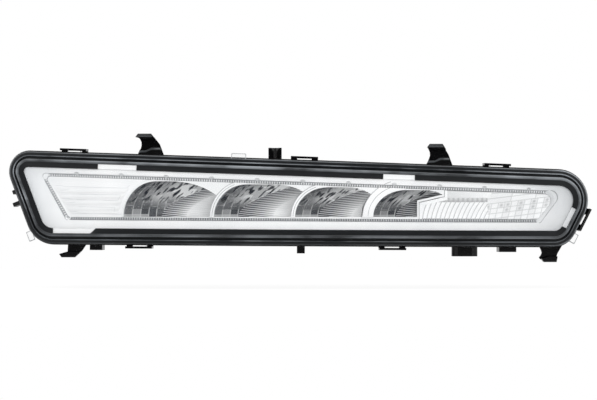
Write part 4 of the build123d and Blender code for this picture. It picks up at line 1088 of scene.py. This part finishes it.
class DRL_OT_cups(bpy.types.Operator):
    """Bright reflector cups with pillow facets and fine flutes."""

    bl_idname = "drl.cups"
    bl_label = "Reflector cups"

    def bank_metal(self, floor):
        """Bright moulding with a milky floor under the light sources."""
        s = Shader("Bright_metal")
        above = s.span(s.axis("Z"), 0.0, 1.0, floor + 0.05 * MM, floor + 0.25 * MM)
        clouds = s.noise(40.0)
        milky = s.tint(clouds, (0.92, 0.92, 0.92), (0.96, 0.96, 0.96))
        return s.principled(
            {
                "Base Color": s.mix(above, milky, s.waver(clouds, settings("cups").metal, 0.03)),
                "Roughness": s.span(above, 0.35, 0.1, 0.0, 1.0),
                "Metallic": s.span(above, 0.2, 1.0, 0.0, 1.0),
            }
        )

    def skin_metal(self):
        """Bright coating with painted reflections: deep on the facets and milky where the flutes run out."""
        c = settings("cups")
        s = Shader("Cup_metal")
        tone = s.mark("tone")
        clouds = s.noise(60.0)
        return s.principled(
            {
                "Base Color": s.mix(tone, s.waver(clouds, c.dark_reflection, 0.2), s.waver(clouds, c.light_reflection, 0.02)),
                "Roughness": s.span(tone, 0.24, 0.28, 0.0, 1.0),
                "Metallic": s.span(tone, 0.5, 0.0, 0.0, 1.0),
            }
        )

    def limits(self, cup, after, z):
        """Left and right edge of a cup's opening at a height, short of the cup or the optic after it."""
        c, o = settings("cups"), settings("optic")
        share = min(1.0, (z - cup.floor) / cup.height)
        root = math.sqrt(max(0.0, 1 - share * share))
        low = cup.lobe_x - c.lobe * root
        high = cup.sweep_x + cup.sweep * root
        if after is None:
            rise = max(0.0, z - o.step - OPTIC_GAP)
            high = min(high, o.left - OPTIC_GAP + rise / SHOULDER_SLOPE)
        else:
            part = (z - after.floor) / (after.height + after.rim)
            if part < 1:
                high = min(high, after.lobe_x - (c.lobe + after.rim) * math.sqrt(1 - part * part))
        return low, max(high, low + 1 * MM)

    def border(self, cup, z):
        """Where the facets end and the flutes begin at a height."""
        up = z - cup.floor
        return cup.left + cup.zone + up * 0.0875 * up / MM

    def facet(self, cup, x, z, low):
        """Place among the facets, in facets across and up."""
        c = settings("cups")
        across = (x - low) / c.facet_width
        return across, (z - cup.floor) / c.facet_height + FACET_STAGGER * math.floor(across)

    def relief(self, cup, x, z, low):
        """How far the pattern stands proud of the smooth cup."""
        c = settings("cups")
        past = x - self.border(cup, z)
        if past > 0:
            fade = max(0.12, 1 - past / c.flute_fade)
            wave = (z - cup.floor - FLUTE_SLOPE * past) / c.flute_pitch
            return c.flute_height * fade * abs(math.sin(math.pi * wave))
        across, along = self.facet(cup, x, z, low)
        u, v = across % 1, along % 1
        tip = scatter(across, along) * c.facet_tilt * (v - 0.5)
        swell = c.facet_bulge * (1 - (2 * u - 1) ** 2 + 0.6 * (1 - (2 * v - 1) ** 2))
        return swell + tip + c.seam_height * ridge(to_seam(across) * c.facet_width, c.seam_width)

    def flute_tone(self, cup, x, z, past):
        """How light the coating is on the flutes, as painted reflection whose dark lines run out."""
        fade = min(1.0, past / cup.run)
        wave = (z - cup.floor - FLUTE_SLOPE * past) / settings("cups").flute_pitch
        stripe = 0.5 + 0.5 * math.cos(2 * math.pi * wave)
        wander = 0.5 + 0.5 * clouds_at(x, z, 7, 2, 3.0)
        return (0.9 + 0.1 * fade) * (1 - (0.98 * (1 - fade) ** 0.8 + 0.1 * wander) * stripe)

    def shade(self, cup, x, z, low):
        """How light the coating is at a point, as painted reflection: deep facets with bright seams, then
        flutes that run out.
        """
        c = settings("cups")
        edge = self.border(cup, z)
        if x > edge:
            return self.flute_tone(cup, x, z, x - edge)
        rise = (z - cup.floor) / cup.height
        across, along = self.facet(cup, x, z, low)
        to_side, to_shelf = to_seam(across) * c.facet_width, to_seam(along) * c.facet_height
        if rise < 0.22:
            blocks = LOW_BLOCKS if rise > 0.08 else FOOT_BLOCKS
            tone = blocks[int(across) % len(blocks)]
            return tone + (0.9 - tone) * ridge(to_side, 0.3 * MM)
        # painted reflection: lighter higher up and towards the flutes
        glow = ramp(rise, 0.3, 0.6) * ramp((x - low) / max(edge - low, MM), 0.1, 0.55)
        tone = 0.46 + 0.09 * scatter(across, along) + 0.42 * glow
        # painted reflection: dark streaks across the upper facets
        streak = clouds_at(0.77 * x + 0.64 * z, 0.77 * z - 0.64 * x, 6, 1.3, cup.left / MM)
        tone *= 1 - 0.85 * ramp(streak, 0.12, 0.34) * ramp(rise, 0.35, 0.6)
        # painted highlight: bright seams between the facets
        seam = max(ridge(to_side, 0.32 * MM), 0.6 * ridge(to_shelf, 0.28 * MM))
        broken = min(1, max(0.1, 0.55 + 0.8 * clouds_at(x, z, 3, 2.2, 7.0)))
        tone += (0.95 - tone) * seam * (1 - 0.75 * glow) * broken
        # painted glints: small bright specks
        tone += 0.3 * ramp(clouds_at(x, z, 0.9, 1.3, 11.0), 0.3, 0.5) * (1 - tone)
        # painted highlight: a bright line along the border of the flutes, in the upper part
        crest = ridge(x - edge, 0.6 * MM) * ramp(rise, 0.35, 0.5)
        return tone + (1 - tone) * crest

    def depth_at(self, cup, x, z):
        """Depth of the smooth cup."""
        c = settings("cups")
        fall = 0.0
        if x < cup.lobe_x:
            fall = ((cup.lobe_x - x) / c.lobe) ** 2
        elif x > cup.sweep_x:
            fall = ((x - cup.sweep_x) / cup.sweep) ** 2
        return cup.vertex - c.depth * (fall + ((z - cup.floor) / cup.height) ** 2)

    def rim_lines(self, bm, cup):
        """Two fine lines along the white rim at a cup's left."""
        lobe, half, parts = settings("cups").lobe, 0.18 * MM, 40
        for share in (0.5, 1.0):
            middle = cup.rim * share - 0.2 * MM
            stations = []
            for k in range(parts + 1):
                turn = math.radians(2 + 68 * k / parts)
                inner, outer = (
                    Vector((
                        cup.lobe_x - (lobe + reach) * math.cos(turn),
                        cup.floor + (cup.height + reach) * math.sin(turn),
                    ))
                    for reach in (middle - half, middle + half)
                )
                stations.append((Vector(((inner.x + outer.x) / 2, inner.y)), inner, outer))
            lay_line(bm, stations, -0.1, 0.25)

    def execute(self, context):
        c = settings("cups")
        shapes = cup_shapes()
        bpy.context.view_layer.update()
        bm = bmesh.new()
        for cup in shapes[1:]:
            self.rim_lines(bm, cup)
        grey = solid_material("Rim_line", (0.4, 0.41, 0.42), 0.3, spread=0.25, cloud=120.0)
        add_piece("rim_lines", bm, grey)
        dress("reflector_bank", self.bank_metal(shapes[0].floor))
        metal = self.skin_metal()
        rows, columns = 110, 190
        for i, (cup, after) in enumerate(zip(shapes, [*shapes[1:], None])):
            grid, tones = [], []
            for v in range(rows + 1):
                z = cup.floor + cup.height * v / rows * 0.995
                low, high = self.limits(cup, after, z)
                row = []
                for u in range(columns + 1):
                    x = low + (high - low) * u / columns
                    wall = self.depth_at(cup, x, z) - c.proud - self.relief(cup, x, z, low)
                    row.append((x, max(bow(x) - 0.6 * MM, wall), z))
                    tones.append(self.shade(cup, x, z, low))
                grid.append(row)
            toned_sheet(f"cup_skin_{i + 1}", grid, tones, metal, c.skin)
        return {"FINISHED"}


class DRL_OT_end_optic(bpy.types.Operator):
    """Ribbed and faceted optic at the right end."""

    bl_idname = "drl.end_optic"
    bl_label = "End optic"

    def clear_plastic(self):
        """Bright clear plastic with dark lines of painted shade in its creases, fainter among the facets at
        the end.
        """
        o = settings("optic")
        s = Shader("Optic_clear")
        clouds = s.noise(30.0)
        share = s.span(s.axis("X"), 0.95, 0.4, o.facet_start - 2 * MM, o.facet_start)
        shadow = s.tint(s.open_share(o.crease_reach, 8), (0.1, 0.105, 0.11), WHITE, 0.25, 0.8)
        return s.principled(
            {
                "Base Color": s.mix(share, s.waver(clouds, o.clear, 0.02), shadow, "MULTIPLY"),
                "Roughness": s.span(clouds, 0.1, 0.14),
                "Coat Weight": 0.6,
            }
        )

    def face_plastic(self):
        """Bright plastic with grey lines of painted shade where its prisms meet."""
        o = settings("optic")
        s = Shader("Optic_face")
        tone = s.mark("tone")
        clouds = s.noise(30.0)
        return s.principled(
            {
                "Base Color": s.mix(tone, s.waver(clouds, o.line, 0.1), s.waver(clouds, o.clear, 0.015)),
                "Roughness": s.span(clouds, 0.12, 0.18),
                "Coat Weight": 0.5,
            }
        )

    def limits(self, x):
        """Lowest and highest place of the optic's face at a place across."""
        b, o = settings("bezel"), settings("optic")
        gap, below_step = 0.3 * MM, 2.3 * MM
        low = line_z(side_line(LOWER, b.window_bottom + b.bevel), x) + gap
        high = line_z(side_line(UPPER, b.window_top + b.bevel), x) - gap
        if x < o.shoulder:
            high = min(high, o.step - below_step + (x - o.left) * SHOULDER_SLOPE)
        foot, tip = window_corners(b.bevel)[1:3]
        if x > foot.x:
            low = max(low, foot.y + (tip.y - foot.y) * (x - foot.x) / (tip.x - foot.x))
        return low, max(high, low + 0.1 * MM)

    def prism(self, x, z):
        """How far a point of the face stands proud, and how light it is with painted shade. Places are in
        millimetres.
        """
        o = settings("optic")
        ribs_end, ribs_foot, arch_pitch, arch_top, line_half = 48, -12, 3.35, 3, 0.26
        tiles_start, tile_height = 44, 3.5
        across, up = (x - o.left) / MM, (z - o.step) / MM
        if up < 0 and across + up * 0.6 < ribs_end + 7 * up / 12:
            pitch = o.rib_pitch / MM
            high = up - ribs_foot
            lean = 0.12 + 0.3 * across / 44
            rib = (across - 2.5 - lean * high - 0.01 * high**2) / pitch
            # painted shade: grey lines along the valleys between ribs
            line = ridge(to_seam(rib) * pitch, line_half)
            return 0.3 * MM * math.sin(math.pi * (rib % 1)), 1 - 0.38 * line
        if 0 <= up < arch_top and across < ribs_end:
            arch = ((across - 17.5) / arch_pitch) % 1 * 2 - 1
            shell = min(1.0, max(0.0, 1.25 - math.hypot(arch, (up - arch_top) / 2.6)))
            # painted shade: each scallop darker towards its rim
            return 0.4 * MM * shell, 0.62 + 0.24 * shell
        if up >= arch_top and across < 46 + up * 0.8:
            return 0.0, 0.8 + 0.004 * across
        level = (up + 12.4 - 0.12 * (across - tiles_start)) / tile_height
        tile_width = 4.5 if level < 3 else 17.0
        post = (across - tiles_start - 0.25 * (up - ribs_foot)) / tile_width
        cell = 0.5 + 0.5 * scatter(level, post)
        line = ridge(min(to_seam(post) * tile_width, to_seam(level) * tile_height), line_half)
        # painted shade: grey spots in the middle of some tiles
        spot = 0.0
        if 1 < level < 3 and cell > 0.45:
            spot = 0.25 * ridge(post % 1 - 0.5, 1 / 4) * ridge(level % 1 - 0.45, 1 / 3.4)
        tilt = 0.5 * MM * (cell - 0.5) * (post % 1 - 0.5)
        return tilt, 1 - 0.04 * cell - 0.2 * line - spot

    def execute(self, context):
        o = settings("optic")
        dress("end_optic", self.clear_plastic(), 0.22 * MM)
        tip = window_corners(settings("bezel").bevel)[2].x
        start, end = o.left + 2.4 * MM, tip - 3.5 * MM
        columns, rows = 300, 90
        grid, tones = [], []
        for u in range(columns + 1):
            x = start + (end - start) * u / columns
            low, high = self.limits(x)
            row = []
            for v in range(rows + 1):
                z = low + (high - low) * v / rows
                rise, light = self.prism(x, z)
                row.append((x, bow(x) + o.face - rise, z))
                tones.append(light)
            grid.append(row)
        toned_sheet("optic_face", grid, tones, self.face_plastic(), o.skin)
        return {"FINISHED"}


# nodes, then the name, colour, roughness and other values of the material that they share
INNER_LOOKS = (
    ("led_board", "Board_white", (0.5, 0.5, 0.5), 0.45, {"spread": 0.04, "grain": 0.1}),
    ("driver_board", "Board_green", (0.03, 0.16, 0.07), 0.4, {"spread": 0.15, "grain": 0.15}),
    ("led_1 led_2 led_3 led_4", "Light_chip", (0.22, 0.22, 0.21), 0.22, {"cloud": 400.0, "Coat_Weight": 0.5}),
    ("heat_sink", "Sink_aluminium", (0.66, 0.67, 0.68), 0.38, {"cloud": 60.0, "grain": 0.15, "Metallic": 1}),
    ("driver_coil driver_chip", "Moulded_black", (0.03, 0.03, 0.032), 0.5, {"spread": 0.1, "grain": 0.2}),
    ("driver_capacitors", "Capacitor_can", (0.6, 0.61, 0.62), 0.3, {"grain": 0.1, "Metallic": 1.0}),
    ("board_leads", "Lead_red", (0.35, 0.02, 0.015), 0.4, {"spread": 0.1}),
    ("connector_terminals", "Blade_tinned", (0.62, 0.58, 0.5), 0.28, {"spread": 0.08, "Metallic": 1.0}),
    (
        "reflector_screws heat_sink_screws driver_board_screws",
        "Screw_steel", (0.5, 0.51, 0.53), 0.32, {"spread": 0.1, "Metallic": 1.0},
    ),
)


class DRL_OT_inside(bpy.types.Operator):
    """Boards, light sources, heat sink, driver parts, blades and screws."""

    bl_idname = "drl.inside"
    bl_label = "Inner parts"

    def execute(self, context):
        for nodes, name, value, rough, others in INNER_LOOKS:
            material = solid_material(name, value, rough, **others)
            for node in nodes.split():
                dress(node, material)
        return {"FINISHED"}


class DRL_OT_stage(bpy.types.Operator):
    """Pale floor, soft studio light and the camera."""

    bl_idname = "drl.stage"
    bl_label = "Stage"

    def link(self, name, data, place=(0, 0, 0)):
        """A linked object with its data at a place."""
        obj = bpy.data.objects.new(name, data)
        obj.location = place
        bpy.context.scene.collection.objects.link(obj)
        return obj

    def softbox(self, name, place, width, height, power):
        """A soft rectangular light aimed at the lamp."""
        light = bpy.data.lights.new(name, "AREA")
        light.shape = "RECTANGLE"
        light.size, light.size_y = width, height
        light.energy = power
        obj = self.link(name, light, place)
        obj.rotation_mode = "QUATERNION"
        obj.rotation_quaternion = (-Vector(place)).to_track_quat("-Z", "Y")
        return obj

    def room(self, strength):
        """Even room light behind a white background."""
        world = bpy.data.worlds.new("Room")
        world.use_nodes = True
        tree = Nodes(world.node_tree)
        rays = tree.node("ShaderNodeLightPath")
        seen = rays["Is Camera Ray"]
        for kind in ("Is Transmission Ray", "Is Glossy Ray"):
            seen = tree.maths("MAXIMUM", seen, rays[kind])
        fill, white = (
            tree.node("ShaderNodeBackground", {"Color": (*WHITE, 1), "Strength": power})["Background"]
            for power in (strength, 1.0)
        )
        mixed = tree.node("ShaderNodeMixShader", {0: seen, 1: fill, 2: white})["Shader"]
        tree.node("ShaderNodeOutputWorld", {"Surface": mixed})
        bpy.context.scene.world = world

    def sheet(self, name, spot, material):
        """Flat sheet whose corners a rule places."""
        bm = bmesh.new()
        bmesh.ops.create_grid(bm, x_segments=8, y_segments=8, size=1.0)
        for vert in bm.verts:
            vert.co = spot(vert.co.x, vert.co.y)
        mesh = bpy.data.meshes.new(name)
        bm.to_mesh(mesh)
        bm.free()
        mesh.materials.append(material)
        return self.link(name, mesh)

    def floor_paint(self):
        """Pale floor, a little brighter to the camera."""
        s = Shader("Floor_white")
        tone = s.tint(s.noise(3.0), (0.80, 0.80, 0.80), (0.82, 0.82, 0.82))
        matte = s.node("ShaderNodeBsdfDiffuse", {"Color": tone})["BSDF"]
        glow = s.node("ShaderNodeEmission", {"Strength": 1.28})["Emission"]
        sight = s.node("ShaderNodeLightPath")["Is Camera Ray"]
        return s.finish(s.mix_shaders(s.span(sight, 0.0, 0.7, 0.0, 1.0), matte, glow))

    def execute(self, context):
        s = settings("stage")
        floor_z = CAD_LOW.z - s.floor_drop
        floor = self.sheet("pale_floor", lambda x, y: (x * 0.7, y * 0.45, floor_z), self.floor_paint())
        self.room(s.fill)
        # unlit card behind the camera, which only mirror-like surfaces show
        card = self.sheet(
            "dark_card",
            lambda x, y: (x * s.card_width / 2, -s.distance - 0.2, y * s.card_height / 2),
            solid_material("Card_black", (0.02, 0.02, 0.02), 0.9),
        )
        card.visible_camera = card.visible_diffuse = card.visible_shadow = False
        self.softbox("overhead_softbox", (-0.1, -0.35, 0.9), 1.2, 0.6, s.key)
        self.softbox("front_softbox", (0.08, -1.55, 0.05), 0.8, 0.8, s.front).visible_glossy = False
        camera = bpy.data.cameras.new("photo_camera")
        camera.sensor_width = 36.0
        camera.lens = s.focal
        obj = self.link("photo_camera", camera, (s.aim, -s.distance, 0.0))
        obj.rotation_euler = (math.pi / 2, 0, 0)
        context.scene.camera = obj
        context.scene.view_settings.view_transform = "Standard"
        return {"FINISHED"}


class DRL_PT_panel(bpy.types.Panel):
    """Buttons for the pieces of the lamp."""

    bl_label = "Daytime running light"
    bl_idname = "DRL_PT_panel"
    bl_space_type = "VIEW_3D"
    bl_region_type = "UI"
    bl_category = "Lamp"

    def draw(self, context):
        for operator in OPERATORS:
            self.layout.operator(operator.bl_idname)


OPERATORS = (
    DRL_OT_seal,
    DRL_OT_cover,
    DRL_OT_housing,
    DRL_OT_bezel,
    DRL_OT_cups,
    DRL_OT_end_optic,
    DRL_OT_inside,
    DRL_OT_stage,
)
GROUPS = {
    "drl_outline": OutlineSettings,
    "drl_seal": SealSettings,
    "drl_housing": HousingSettings,
    "drl_bezel": BezelSettings,
    "drl_cups": CupSettings,
    "drl_optic": OpticSettings,
    "drl_stage": StageSettings,
}


def register():
    """Adds the settings, the operators and the panel."""
    for name, group in GROUPS.items():
        bpy.utils.register_class(group)
        setattr(bpy.types.Scene, name, PointerProperty(type=group))
    for operator in OPERATORS:
        bpy.utils.register_class(operator)
    bpy.utils.register_class(DRL_PT_panel)


def unregister():
    """Takes them out again."""
    bpy.utils.unregister_class(DRL_PT_panel)
    for operator in reversed(OPERATORS):
        bpy.utils.unregister_class(operator)
    for name, group in GROUPS.items():
        delattr(bpy.types.Scene, name)
        bpy.utils.unregister_class(group)


def main():
    """Builds every piece and the stage."""
    register()
    bpy.ops.drl.seal()
    bpy.ops.drl.cover()
    bpy.ops.drl.housing()
    bpy.ops.drl.bezel()
    bpy.ops.drl.cups()
    bpy.ops.drl.end_optic()
    bpy.ops.drl.inside()
    bpy.ops.drl.stage()
    bpy.context.view_layer.update()


if __name__ == "__main__":
    main()
